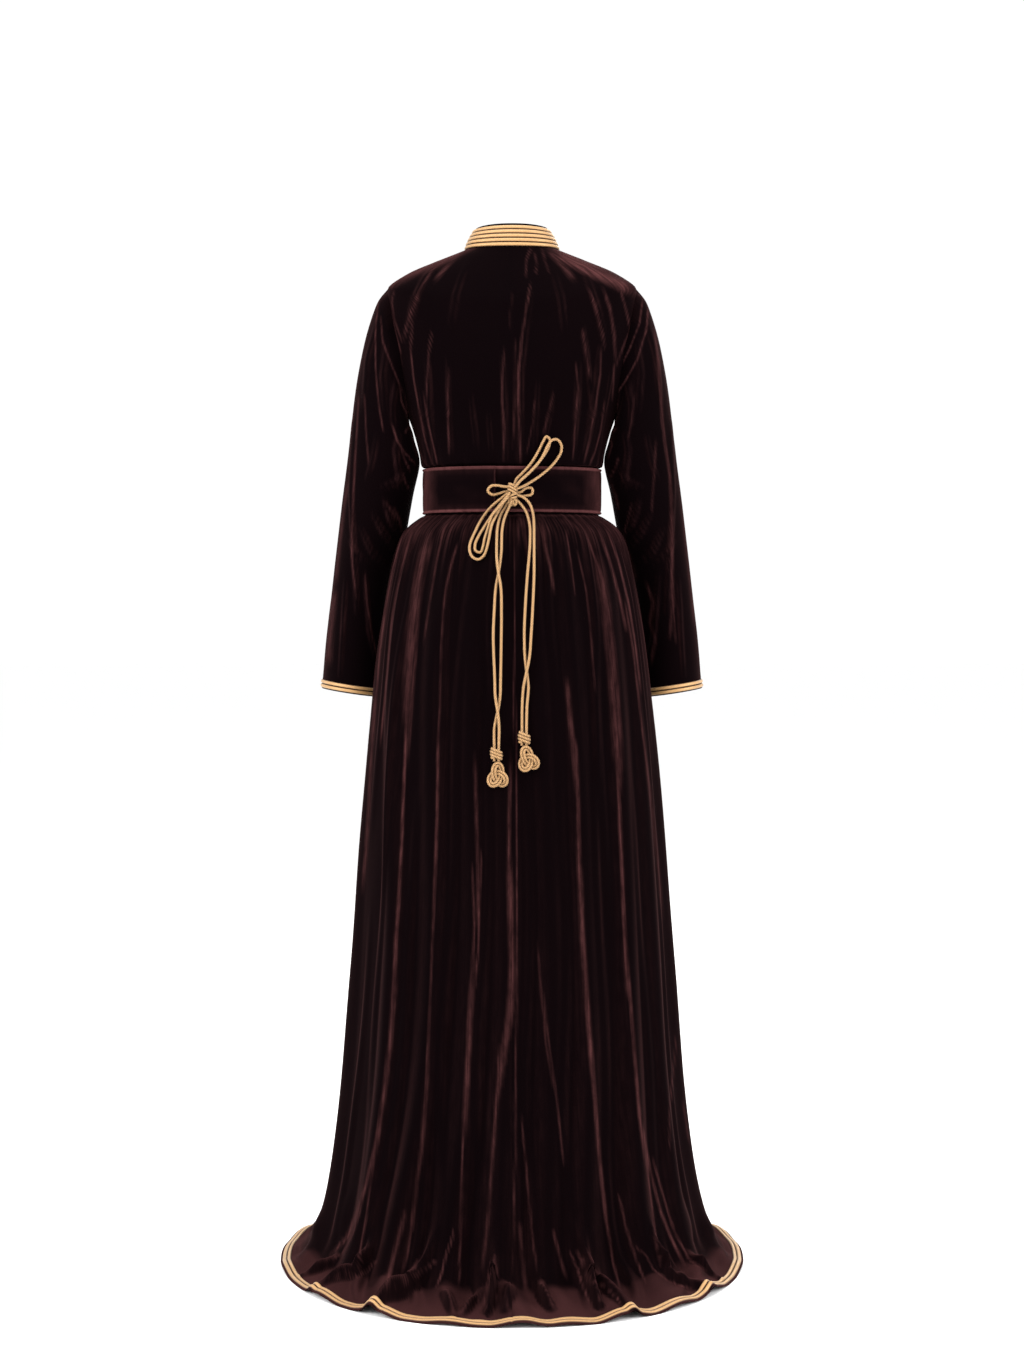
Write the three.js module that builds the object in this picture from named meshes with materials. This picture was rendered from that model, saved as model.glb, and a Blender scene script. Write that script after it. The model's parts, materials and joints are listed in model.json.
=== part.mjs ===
import * as THREE from "three";

// A long velvet kaftan in its worn form: a gathered skirt with a short train, a bodice that
// blouses over a wide belt, long set-in sleeves and a stand collar, with gold braid on every
// edge and a gold lace that ties the belt at the back.
// Millimetres, +Z up. The front faces -Y, and +X is the wearer's left. Angles round the body
// are in degrees from the centre back, 90 at the wearer's left side and 180 at centre front.

// Driving sizes
const CLOTH = 1.8; // velvet wall
const SEAM_GAP = 0.3; // between two pieces that are sewn together
const LEVEL_GAP = 0.35; // between a braid and the cloth that it is sewn on
const HEM_GAP = 0.6; // the same on the hem, which is more folded
const BRAID_THICK = 1.9;
const NUMERIC_STEP = 1e-3; // of a ring's place, for normals worked out from two near points
const NUMERIC_TURN = 0.05; // the same in degrees
const SKIRT_ROUNDNESS = 2.1; // exponents of the rings, where 2 is an ellipse
const BODICE_ROUNDNESS = 2.2;

// Half widths of the rings, depths behind and before their middle, how far back the middle
// is, and the height of each ring at the side, the centre back and the centre front. The
// spread cloth lies on the floor.
const SKIRT = [
  { ring: "waist", side: 129.5, back: 90, front: 88, middle: 0, zSide: -336, zBack: -336, zFront: -336 },
  { ring: "belt bottom", side: 132, back: 93, front: 91, middle: 0, zSide: -369, zBack: -369, zFront: -369 },
  { ring: "below belt", side: 143, back: 103, front: 99, middle: 0, zSide: -379, zBack: -379, zFront: -379 },
  { ring: "spring", side: 167, back: 122, front: 111, middle: 0, zSide: -402, zBack: -400, zFront: -400 },
  { ring: "high hip", side: 185, back: 146, front: 122, middle: 0, zSide: -460, zBack: -455, zFront: -458 },
  { ring: "hip", side: 202, back: 160, front: 130, middle: 0, zSide: -551, zBack: -545, zFront: -548 },
  { ring: "thigh", side: 218, back: 172, front: 137, middle: 0, zSide: -690, zBack: -682, zFront: -685 },
  { ring: "knee", side: 233, back: 189, front: 152, middle: 0, zSide: -870, zBack: -858, zFront: -862 },
  { ring: "calf", side: 246, back: 216, front: 176, middle: 0, zSide: -1060, zBack: -1045, zFront: -1050 },
  { ring: "shin", side: 260, back: 246, front: 204, middle: 2, zSide: -1240, zBack: -1220, zFront: -1228 },
  { ring: "ankle", side: 277, back: 272, front: 228, middle: 8, zSide: -1375, zBack: -1350, zFront: -1362 },
  { ring: "break", side: 300, back: 296, front: 251, middle: 20, zSide: -1462, zBack: -1450, zFront: -1442 },
  { ring: "floor", side: 317, back: 316, front: 274, middle: 38, zSide: -1487, zBack: -1486, zFront: -1466 },
  { ring: "train", side: 327, back: 350, front: 291, middle: 52, zSide: -1493, zBack: -1493, zFront: -1475 },
  { ring: "braid", side: 335, back: 386, front: 299, middle: 58, zSide: -1495, zBack: -1496, zFront: -1480.5 },
  { ring: "hem", side: 352, back: 402, front: 308, middle: 60, zSide: -1498, zBack: -1498, zFront: -1498 },
];
const SKIRT_RINGS = ringNumbers(SKIRT);

// Where the neck, the shoulder, the armhole and the side seam take the bodice. The armhole
// columns are the angle at which its back and front edges stand, and 90 is a closed seam.
const BODICE = [
  { ring: "neck", side: 72, back: 62, front: 63, middle: -12, zSide: 36, zBack: 34, zFront: -20,
    armBack: 90, armFront: 90 },
  { ring: "slope", side: 115, back: 69, front: 75, middle: -8, zSide: 19, zBack: 10, zFront: -46,
    armBack: 90, armFront: 90 },
  { ring: "shoulder", side: 161, back: 79, front: 88, middle: -4, zSide: -1, zBack: -20,
    zFront: -76, armBack: 90, armFront: 90 },
  { ring: "armhole top", side: 191, back: 88, front: 98, middle: 0, zSide: -24, zBack: -54,
    zFront: -104, armBack: 90, armFront: 90 },
  { ring: "armhole 1", side: 192, back: 92, front: 104, middle: 0, zSide: -38, zBack: -78,
    zFront: -122, armBack: 79, armFront: 78 },
  { ring: "armhole 2", side: 191, back: 97, front: 110, middle: 0, zSide: -74, zBack: -108,
    zFront: -142, armBack: 71, armFront: 69 },
  { ring: "armhole 3", side: 187, back: 101, front: 115, middle: 0, zSide: -125, zBack: -146,
    zFront: -166, armBack: 64.5, armFront: 62 },
  { ring: "armhole 4", side: 176, back: 102, front: 116, middle: 0, zSide: -175, zBack: -186,
    zFront: -196, armBack: 67, armFront: 65 },
  { ring: "armhole 5", side: 165, back: 100, front: 113, middle: 0, zSide: -211, zBack: -216,
    zFront: -220, armBack: 74, armFront: 73 },
  { ring: "underarm", side: 158, back: 99, front: 110, middle: 0, zSide: -225, zBack: -236,
    zFront: -238, armBack: 90, armFront: 90 },
  { ring: "rib", side: 149.5, back: 98, front: 104, middle: 0, zSide: -250, zBack: -258,
    zFront: -260, armBack: 90, armFront: 90 },
  { ring: "blouse", side: 142, back: 99, front: 99, middle: 0, zSide: -278, zBack: -282,
    zFront: -283, armBack: 90, armFront: 90 },
  { ring: "over belt", side: 138, back: 96.5, front: 95, middle: 0, zSide: -296.5,
    zBack: -296.5, zFront: -296.5, armBack: 90, armFront: 90 },
  { ring: "under belt", side: 130, back: 90, front: 88, middle: 0, zSide: -300,
    zBack: -300, zFront: -300, armBack: 90, armFront: 90 },
  { ring: "waist", side: 128, back: 88.5, front: 86.5, middle: 0, zSide: -335.7, zBack: -335.7,
    zFront: -335.7, armBack: 90, armFront: 90 },
];
const BODICE_RINGS = ringNumbers(BODICE);

const SLEEVE_SEAM_SHARE = 0.85; // of the seam gap, taken down the sleeve and again sideways
// Rings of the left sleeve below its armhole: the points on the outer and the inner side of
// the arm, how far forward the ring stands, and half its depth.
const SLEEVE = [
  { ring: "cap", outerX: 206, outerZ: -43, innerX: 157.6, innerZ: -234, forward: 0, depth: 54 },
  { ring: "upper", outerX: 222, outerZ: -88, innerX: 152.8, innerZ: -245, forward: 1, depth: 58 },
  { ring: "biceps", outerX: 236, outerZ: -150, innerX: 148.4, innerZ: -262, forward: 4, depth: 61 },
  { ring: "arm", outerX: 247, outerZ: -225, innerX: 142.5, innerZ: -290, forward: 10, depth: 62 },
  { ring: "elbow", outerX: 258, outerZ: -310, innerX: 153, innerZ: -338, forward: 22, depth: 63 },
  { ring: "forearm", outerX: 270, outerZ: -392, innerX: 166, innerZ: -404, forward: 42, depth: 63 },
  { ring: "lower", outerX: 281, outerZ: -470, innerX: 188, innerZ: -478, forward: 66, depth: 61 },
  { ring: "wrist", outerX: 291, outerZ: -545, innerX: 197, innerZ: -552, forward: 80, depth: 62 },
  { ring: "braid", outerX: 298, outerZ: -612, innerX: 202, innerZ: -624, forward: 90, depth: 65 },
  { ring: "cuff", outerX: 301, outerZ: -640, innerX: 203, innerZ: -655, forward: 92, depth: 67 },
];

const COLLAR_BASE = { side: 72, back: 62, front: 63, middle: -12, zSide: 36, zBack: 34, zFront: -20 };
const COLLAR_TOP = { side: 56, back: 53, front: 48, middle: -14, zSide: 69, zBack: 71, zFront: 14 };
const COLLAR_HEIGHT = 38; // of the stand at the back
const COLLAR_BULGE = 2; // how far the stand rounds out at half its height
const COLLAR_OPENING = 1.5; // degrees from centre front to each end of the stand
const COLLAR_BRAID = { rows: 5, first: 1, pitch: 6.9, width: 6.2 };
const CUFF_BRAID = { rows: 2, first: 1.4, pitch: 6.5, width: 5.9 };
const HEM_BRAID = { rows: 2, first: 1.5, pitch: 8, width: 7.4 };

const BELT = { top: -301, bottom: -370, inner: 134, back: 95, front: 93, thick: 4, edge: 1.2 };
const BELT_LAP = {
  startAngle: 9.5, endAngle: 403, underFrom: 339.5, lift: 4.6, liftUntil: 48, downBy: 78,
};
const BELT_STEPS = 40;

// Standing folds of the skirt. The angle of each, and how far it stands out, are given at the
// hip, calf, break and braid rings, and it starts at the spring ring.
const FOLD_STATIONS = ["spring", "hip", "calf", "break", "braid"];
const FOLDS = [
  { at: [78, 76, 74, 76], height: [1.5, 8, 10, 5], halfWidth: 9 },
  { at: [58, 45, 47, 51], height: [6, 12, 16, 8], halfWidth: 9 },
  { at: [33, 27, 34, 32], height: [7, 12, 20, 9], halfWidth: 8 },
  { at: [16, 12, 17, 14], height: [5, 9, 14, 4], halfWidth: 7.5 },
  { at: [5, 2, 3.5, -2], height: [3, 8, 28, 8], halfWidth: 7 },
  { at: [-10, -13, -9, -12], height: [5, 10, 14, 4], halfWidth: 7.5 },
  { at: [-24, -25, -19, -26], height: [6, 12, 18, 9], halfWidth: 8 },
  { at: [-46, -43, -38, -42], height: [7, 12, 20, 6], halfWidth: 9 },
  { at: [-62, -59, -57, -55], height: [3, 8, 13, 9], halfWidth: 8 },
  { at: [-80, -79, -78, -77], height: [1.5, 8, 10, 5], halfWidth: 9 },
  { at: [112, 110, 108, 110], height: [0, 7, 9, 4], halfWidth: 12 },
  { at: [138, 135, 137, 136], height: [4, 10, 11, 5], halfWidth: 12 },
  { at: [163, 162, 164, 165], height: [3, 9, 10, 4], halfWidth: 11 },
  { at: [-166, -163, -162, -160], height: [3, 9, 10, 4], halfWidth: 11 },
  { at: [-140, -138, -135, -137], height: [4, 10, 11, 5], halfWidth: 12 },
  { at: [-113, -111, -112, -110], height: [0, 7, 9, 4], halfWidth: 12 },
];
// Gathers into the waist: one to every two columns, fading out below the hip.
const GATHER_HEIGHT = [0.3, 0.5, 1.8, 4, 4.4, 3, 1, 0];
const BACK_COLUMNS = 26; // in each back panel of the skirt
const FRONT_COLUMNS = 16;
const BODICE_BACK_COLUMNS = 8;
const BODICE_FRONT_COLUMNS = 5;
// Soft lengthwise folds of the bodice: angle at the shoulder blade and at the belt.
const BODICE_FOLDS = [
  { upper: 48, lower: 44, height: 3.5 },
  { upper: 26, lower: 22, height: 2.5 },
  { upper: -26, lower: -30, height: 3 },
  { upper: -50, lower: -46, height: 3.5 },
  { upper: 140, lower: 146, height: 2.5 },
  { upper: -140, lower: -146, height: 2.5 },
];
const BODICE_FOLD_HALF_WIDTH = 13;

const velvet = new THREE.MeshStandardMaterial({ color: 0x2a1114, roughness: 0.9, metalness: 0 });
const gold = new THREE.MeshStandardMaterial({ color: 0xd6a860, roughness: 0.45, metalness: 0.35 });
const kaftan = new THREE.Group();

function ringNumbers(table) {
  return Object.fromEntries(table.map((row, number) => [row.ring, number]));
}

// A list of values read between its places, on a curve that never overshoots them.
function between(values, place) {
  const last = values.length - 1;
  const low = THREE.MathUtils.clamp(Math.floor(place), 0, last - 1);
  const f = place - low;
  const valueAt = (k) => {
    if (k < 0) return 2 * values[0] - values[1];
    if (k > last) return 2 * values[last] - values[last - 1];
    return values[k];
  };
  const slope = (k) => {
    const before = valueAt(k) - valueAt(k - 1);
    const after = valueAt(k + 1) - valueAt(k);
    return before * after > 0 ? (2 * before * after) / (before + after) : 0;
  };
  const rise = valueAt(low + 1) - valueAt(low);
  const [first, second] = [slope(low), slope(low + 1)];
  const bend = (3 * rise - 2 * first - second) * f * f;
  return valueAt(low) + first * f + bend + (first + second - 2 * rise) * f ** 3;
}

function column(table, name, place) {
  const values = table.map((row) => row[name]);
  return between(values, place);
}

function rounded(value, roundness) {
  return Math.sign(value) * Math.abs(value) ** (2 / roundness);
}

function turnBetween(a, b) {
  return ((((a - b) % 360) + 540) % 360) - 180;
}

// A smooth bump of height 1, which is 0 from halfWidth away.
function bump(distance, halfWidth) {
  const share = Math.min(1, Math.abs(distance) / halfWidth);
  return Math.cos((share * Math.PI) / 2) ** 2;
}

// The point of a ring at an angle from the centre back.
function ringPoint(ring, angle, roundness) {
  const across = Math.sin(THREE.MathUtils.degToRad(angle));
  const along = Math.cos(THREE.MathUtils.degToRad(angle));
  const behind = along >= 0;
  const depth = behind ? ring.back : ring.front;
  const height = behind ? ring.zBack : ring.zFront;
  return new THREE.Vector3(
    ring.side * rounded(across, roundness),
    ring.middle + depth * rounded(along, roundness),
    ring.zSide + (height - ring.zSide) * along * along,
  );
}

const SIZES = ["side", "back", "front", "middle", "zSide", "zBack", "zFront"];

function ringAt(table, place) {
  const sizes = SIZES.map((name) => [name, name in table[0] ? column(table, name, place) : 0]);
  return Object.fromEntries(sizes);
}

// The outward normal of a surface of angle and place, from points a little to each side.
function normalAt(surface, angle, place) {
  const across = surface(angle + NUMERIC_TURN, place).sub(surface(angle - NUMERIC_TURN, place));
  const down = surface(angle, place + NUMERIC_STEP).sub(surface(angle, place - NUMERIC_STEP));
  return across.cross(down).normalize();
}

function raised(base, heightAt) {
  return (angle, place) => {
    const height = heightAt(angle, place);
    const point = base(angle, place);
    return height ? point.addScaledVector(normalAt(base, angle, place), height) : point;
  };
}

function skirtBase(angle, place) {
  return ringPoint(ringAt(SKIRT, place), angle, SKIRT_ROUNDNESS);
}

function stationPlace(place) {
  const stations = FOLD_STATIONS.map((name) => SKIRT_RINGS[name]);
  const low = Math.max(0, stations.slice(0, -1).findLastIndex((station) => place >= station));
  const share = (place - stations[low]) / (stations[low + 1] - stations[low]);
  return THREE.MathUtils.clamp(low + share, 0, stations.length - 1);
}

function foldHeight(angle, place) {
  const station = stationPlace(place);
  let height = 0;
  for (const fold of FOLDS) {
    const middle = between([fold.at[0], ...fold.at], station);
    const stands = between([0, ...fold.height], station);
    height += stands * bump(turnBetween(angle, middle), fold.halfWidth);
  }
  return height;
}

function gatherHeight(angle, place) {
  const turned = turnBetween(angle, 0);
  const columns = Math.abs(turned) <= 90 ? BACK_COLUMNS : FRONT_COLUMNS;
  const number = (turned * columns) / 90;
  const wave = (1 - Math.cos(Math.PI * number)) / 2;
  const uneven = 0.8 + 0.2 * Math.sin(5 * Math.floor(number / 2));
  return between([...GATHER_HEIGHT, 0, 0], Math.min(place, GATHER_HEIGHT.length)) * wave * uneven;
}

const skirt = raised(skirtBase, (angle, place) => foldHeight(angle, place) + gatherHeight(angle, place));

function bodiceBase(angle, place) {
  return ringPoint(ringAt(BODICE, place), angle, BODICE_ROUNDNESS);
}

function bodiceFoldHeight(angle, place) {
  const from = BODICE_RINGS["armhole top"];
  const to = BODICE_RINGS["under belt"];
  const down = THREE.MathUtils.clamp((place - from) / (to - from), 0, 1);
  let height = 0;
  for (const fold of BODICE_FOLDS) {
    const middle = THREE.MathUtils.lerp(fold.upper, fold.lower, down);
    height += fold.height * bump(turnBetween(angle, middle), BODICE_FOLD_HALF_WIDTH);
  }
  return height * Math.sin(Math.PI * down);
}

const bodice = raised(bodiceBase, bodiceFoldHeight);

function collarSurface(angle, place) {
  const ring = {};
  for (const name of SIZES) {
    ring[name] = THREE.MathUtils.lerp(COLLAR_BASE[name], COLLAR_TOP[name], place);
  }
  const out = COLLAR_BULGE * 4 * place * (1 - place);
  ring.side += out;
  ring.back += out;
  ring.front += out;
  return ringPoint(ring, angle, BODICE_ROUNDNESS);
}

// A closed solid of points and triangles, turned so that its faces point out.
function solid(points, faces) {
  let volume = 0;
  for (let k = 0; k < faces.length; k += 3) {
    const [a, b, c] = [points[faces[k]], points[faces[k + 1]], points[faces[k + 2]]];
    volume += a.dot(b.clone().cross(c));
  }
  if (volume < 0) faces.reverse();
  const geometry = new THREE.BufferGeometry().setFromPoints(points);
  geometry.setIndex(faces);
  geometry.computeVertexNormals();
  return geometry;
}

function quad(faces, a, b, c, d) {
  faces.push(a, b, c, a, c, d);
}

// A wall between two grids of points with the same rows and columns. A round one joins its
// last column to its first.
function wall(outer, inner, round = false) {
  const rows = outer.length;
  const columns = outer[0].length;
  const spans = round ? columns : columns - 1;
  const at = (side, r, c) => side * rows * columns + r * columns + (c % columns);
  const faces = [];
  for (let c = 0; c < spans; c += 1) {
    for (let r = 0; r < rows - 1; r += 1) {
      quad(faces, at(0, r, c), at(0, r, c + 1), at(0, r + 1, c + 1), at(0, r + 1, c));
      quad(faces, at(1, r, c), at(1, r + 1, c), at(1, r + 1, c + 1), at(1, r, c + 1));
    }
    quad(faces, at(0, 0, c), at(1, 0, c), at(1, 0, c + 1), at(0, 0, c + 1));
    const last = rows - 1;
    quad(faces, at(0, last, c), at(0, last, c + 1), at(1, last, c + 1), at(1, last, c));
  }
  for (let r = 0; r < rows - 1 && !round; r += 1) {
    quad(faces, at(0, r, 0), at(0, r + 1, 0), at(1, r + 1, 0), at(1, r, 0));
    quad(faces, at(0, r, spans), at(1, r, spans), at(1, r + 1, spans), at(0, r + 1, spans));
  }
  return solid([...outer.flat(), ...inner.flat()], faces);
}

// A bar through sections with the same number of points, with two flat ends unless it is round.
function bar(sections, round = false) {
  const sides = sections[0].length;
  const faces = [];
  const spans = round ? sections.length : sections.length - 1;
  const at = (s, k) => (s % sections.length) * sides + (k % sides);
  for (let s = 0; s < spans; s += 1) {
    for (let k = 0; k < sides; k += 1) {
      quad(faces, at(s, k), at(s, k + 1), at(s + 1, k + 1), at(s + 1, k));
    }
  }
  for (let k = 1; k < sides - 1 && !round; k += 1) {
    faces.push(at(0, 0), at(0, k + 1), at(0, k));
    faces.push(at(spans, 0), at(spans, k), at(spans, k + 1));
  }
  return solid(sections.flat(), faces);
}

function addPiece(name, geometry, material) {
  const mesh = new THREE.Mesh(geometry, material);
  mesh.name = name;
  kaftan.add(mesh);
  return mesh;
}

function towards(from, to, distance) {
  return to.clone().sub(from).setLength(distance);
}

// Moves the edges of a panel's two grids in by half a seam gap, so that neighbours are apart.
function openSeams(outer, inner, edges) {
  const half = SEAM_GAP / 2;
  const last = outer[0].length - 1;
  const moveBoth = (r, c, move) => {
    outer[r][c].add(move);
    inner[r][c].add(move);
  };
  for (let r = 0; r <= outer.length - 1; r += 1) {
    if (edges.sides) {
      moveBoth(r, 0, towards(outer[r][0], outer[r][1], half));
      moveBoth(r, last, towards(outer[r][last], outer[r][last - 1], half));
    }
  }
  for (let c = 0; c <= last; c += 1) {
    if (edges.top) moveBoth(0, c, towards(outer[0][c], outer[1][c], half));
  }
}

// The two grids of a panel, whose angles may differ from row to row. The rows named in
// levelRows keep their inner edge at the height of the outer one.
function panelGrids(surface, rows, anglesAt, levelRows = []) {
  const outer = [];
  const inner = [];
  for (let r = 0; r < rows; r += 1) {
    const angles = anglesAt(r);
    outer.push(angles.map((angle) => surface(angle, r)));
    inner.push(
      angles.map((angle) => {
        const normal = normalAt(surface, angle, r);
        if (levelRows.includes(r)) normal.setZ(0).normalize();
        return surface(angle, r).addScaledVector(normal, -CLOTH);
      }),
    );
  }
  return { outer, inner };
}

function evenAngles(from, to, spans) {
  return Array.from({ length: spans + 1 }, (_, k) => from + ((to - from) * k) / spans);
}

function addSkirtPanel(name, from, to, columns) {
  const angles = evenAngles(from, to, columns);
  const { outer, inner } = panelGrids(skirt, SKIRT.length, () => angles, [0, 1]);
  openSeams(outer, inner, { sides: true, top: true });
  return addPiece(name, wall(outer, inner), velvet);
}

// The seams of a bodice panel run from its centre line to its armhole or side seam.
function addBodicePanel(name, centre, turn, armhole, columns) {
  const anglesAt = (r) => evenAngles(centre, centre + turn * BODICE[r][armhole], columns);
  const lastRow = BODICE.length - 1;
  const { outer, inner } = panelGrids(bodice, BODICE.length, anglesAt, [lastRow - 1, lastRow]);
  openSeams(outer, inner, { sides: true, top: true });
  return addPiece(name, wall(outer, inner), velvet);
}

// The armhole from the shoulder down its back edge, under the arm and up its front edge, with
// a point halfway between each two rings. Each has the bodice's outward normal there.
function armholeEdge(side) {
  const top = BODICE_RINGS["armhole top"];
  const rings = Array.from({ length: BODICE_RINGS.underarm - top + 1 }, (_, k) => top + k);
  const edgePoint = (ring, angle) => ({
    point: bodice(angle, ring),
    normal: normalAt(bodice, angle, ring),
  });
  const back = rings.map((ring) => edgePoint(ring, side * BODICE[ring].armBack));
  const front = rings.slice(1, -1).map((ring) => edgePoint(ring, side * (180 - BODICE[ring].armFront)));
  const corners = [...back, ...front.reverse()];
  return corners.flatMap((corner, k) => {
    const next = corners[(k + 1) % corners.length];
    const halfway = {
      point: corner.point.clone().lerp(next.point, 0.5),
      normal: corner.normal.clone().add(next.normal).normalize(),
    };
    return [corner, halfway];
  });
}

function sleeveRing(section, side, count) {
  const outside = new THREE.Vector3(side * section.outerX, -section.forward, section.outerZ);
  const inside = new THREE.Vector3(side * section.innerX, -section.forward, section.innerZ);
  const middle = outside.clone().lerp(inside, 0.5);
  const reach = outside.clone().sub(middle);
  return Array.from({ length: count }, (_, k) => {
    const turn = (2 * Math.PI * k) / count;
    const point = middle.clone().addScaledVector(reach, Math.cos(turn));
    point.y += section.depth * Math.sin(turn);
    return point;
  });
}

// Normals of a round grid, from the points round each one.
function gridNormals(grid, side) {
  const count = grid[0].length;
  return grid.map((ring, r) =>
    ring.map((_, k) => {
      const across = ring[(k + 1) % count].clone().sub(ring[(k + count - 1) % count]);
      const below = grid[Math.min(r + 1, grid.length - 1)][k];
      const down = below.clone().sub(grid[Math.max(r - 1, 0)][k]);
      return across.cross(down).normalize().multiplyScalar(-side);
    }),
  );
}

// The top ring of a sleeve stands a seam gap off the armhole, and its wall leans no further
// into the body than the bodice's does.
function sleeveGrids(side) {
  const edge = armholeEdge(side);
  const rings = SLEEVE.map((section) => sleeveRing(section, side, edge.length));
  const top = edge.map(({ point }, k) => {
    const off = towards(point, rings[0][k], SEAM_GAP * SLEEVE_SEAM_SHARE);
    off.x += side * SEAM_GAP * SLEEVE_SEAM_SHARE;
    return point.clone().add(off);
  });
  const outer = [top, ...rings];
  const normals = gridNormals(outer, side);
  edge.forEach(({ normal }, k) => {
    const own = normals[0][k];
    own.x = side * Math.min(side * own.x, side * normal.x);
    own.normalize();
  });
  const inner = outer.map((ring, r) =>
    ring.map((point, k) => point.clone().addScaledVector(normals[r][k], -CLOTH)),
  );
  return { outer, inner, normals };
}

// Braids sewn along the last row of a grid: each lies between two distances from the edge,
// measured towards the row before it.
function addBraids(names, style, edgeRow, rowBefore, normals, gap, round) {
  names.forEach((name, number) => {
    const near = style.first + number * style.pitch;
    const sections = edgeRow.map((point, k) => {
      const up = towards(point, rowBefore[k], 1);
      const place = (distance, height) =>
        point.clone().addScaledVector(up, distance).addScaledVector(normals[k], height);
      const far = near + style.width;
      const top = gap + BRAID_THICK;
      return [place(far, gap), place(near, gap), place(near, top), place(far, top)];
    });
    addPiece(name, bar(sections, round), gold);
  });
}

function numbered(stem, count) {
  return Array.from({ length: count }, (_, k) => `${stem}_${k + 1}`);
}

function addSleeve(label, side) {
  const { outer, inner, normals } = sleeveGrids(side);
  addPiece(`sleeve_${label}`, wall(outer, inner, true), velvet);
  const last = outer.length - 1;
  const names = numbered(`cuff_braid_${label}`, CUFF_BRAID.rows);
  addBraids(names, CUFF_BRAID, outer[last], outer[last - 1], normals[last], LEVEL_GAP, true);
}

function collarAngles() {
  const back = evenAngles(-90, 90, 2 * BODICE_BACK_COLUMNS);
  const left = evenAngles(90, 180, BODICE_FRONT_COLUMNS).slice(1);
  left[left.length - 1] -= COLLAR_OPENING;
  return [...left.map((angle) => -angle).reverse(), ...back, ...left];
}

// Near the centre front the stand keeps to the straight line that the neck's last column takes.
function standPoint(angle, place) {
  const last = 180 - 90 / BODICE_FRONT_COLUMNS;
  if (Math.abs(angle) <= last) return collarSurface(angle, place);
  const share = (Math.abs(angle) - last) / (180 - last);
  const start = collarSurface(Math.sign(angle) * last, place);
  return start.lerp(collarSurface(Math.sign(angle) * 180, place), share);
}

// The stand has three rows of points, from its top edge down to the seam at the neck.
function addCollar() {
  const angles = collarAngles();
  const surface = (angle, row) => standPoint(angle, 1 - row / 2);
  const { outer, inner } = panelGrids(surface, 3, () => angles, [2]);
  openSeams(outer.reverse(), inner.reverse(), { sides: false, top: true });
  addPiece("collar", wall(outer, inner), velvet);
  numbered("collar_braid", COLLAR_BRAID.rows).forEach((name, number) => {
    const low = (COLLAR_BRAID.first + number * COLLAR_BRAID.pitch) / COLLAR_HEIGHT;
    const high = low + COLLAR_BRAID.width / COLLAR_HEIGHT;
    const sections = angles.map((angle) => collarBraidSection(angle, low, high));
    addPiece(name, bar(sections), gold);
  });
}

function collarBraidSection(angle, low, high) {
  const chord = (place) => {
    const half = place < 0.5 ? 0 : 0.5;
    const share = (place - half) * 2;
    return standPoint(angle, half).lerp(standPoint(angle, half + 0.5), share);
  };
  const outward = normalAt(standPoint, angle, 0.5).negate();
  const place = (level, height) => chord(level).addScaledVector(outward, height);
  const top = LEVEL_GAP + BRAID_THICK;
  return [place(low, LEVEL_GAP), place(high, LEVEL_GAP), place(high, top), place(low, top)];
}

function addHemBraids() {
  const back = evenAngles(-90, 90, 2 * BACK_COLUMNS);
  const front = evenAngles(90, 270, 2 * FRONT_COLUMNS).slice(1, -1);
  const angles = [...back, ...front];
  const hem = SKIRT_RINGS.hem;
  const edge = angles.map((angle) => skirt(angle, hem));
  const before = angles.map((angle) => skirt(angle, hem - 1));
  const normals = angles.map((angle) => normalAt(skirt, angle, hem - 0.5));
  const names = numbered("hem_braid", HEM_BRAID.rows);
  addBraids(names, HEM_BRAID, edge, before, normals, HEM_GAP, true);
}

// The belt goes once round, and its first end lies over the second one at the back.
function beltPoint(angle, out) {
  const turned = angle > BELT_LAP.underFrom ? BELT_LAP.downBy : angle;
  const fall = (turned - BELT_LAP.liftUntil) / (BELT_LAP.downBy - BELT_LAP.liftUntil);
  const over = BELT_LAP.lift * (1 - THREE.MathUtils.smoothstep(fall, 0, 1));
  const grow = out + over;
  const ring = {
    side: BELT.inner + grow,
    back: BELT.back + grow,
    front: BELT.front + grow,
    middle: 0,
    zSide: 0,
    zBack: 0,
    zFront: 0,
  };
  return ringPoint(ring, angle, SKIRT_ROUNDNESS);
}

function addBelt() {
  const { top, bottom, thick, edge } = BELT;
  const profile = [
    [0, bottom + edge],
    [thick / 2, bottom],
    [thick, bottom + edge],
    [thick, top - edge],
    [thick / 2, top],
    [0, top - edge],
  ];
  const angles = evenAngles(BELT_LAP.startAngle, BELT_LAP.endAngle, BELT_STEPS);
  const sections = angles.map((angle) =>
    profile.map(([out, height]) => beltPoint(angle, out).setZ(height)),
  );
  return addPiece("belt", bar(sections), velvet);
}

const skirtBackLeft = addSkirtPanel("skirt_back_left", 0, 90, BACK_COLUMNS);
const skirtBackRight = addSkirtPanel("skirt_back_right", -90, 0, BACK_COLUMNS);
addSkirtPanel("skirt_front_left", 90, 180, FRONT_COLUMNS);
addSkirtPanel("skirt_front_right", 180, 270, FRONT_COLUMNS);
addHemBraids();
const bodiceBackLeft = addBodicePanel("bodice_back_left", 0, 1, "armBack", BODICE_BACK_COLUMNS);
const bodiceBackRight = addBodicePanel("bodice_back_right", 0, -1, "armBack", BODICE_BACK_COLUMNS);
addBodicePanel("bodice_front_left", 180, -1, "armFront", BODICE_FRONT_COLUMNS);
addBodicePanel("bodice_front_right", 180, 1, "armFront", BODICE_FRONT_COLUMNS);
addSleeve("left", 1);
addSleeve("right", -1);
addCollar();
const belt = addBelt();

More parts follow.
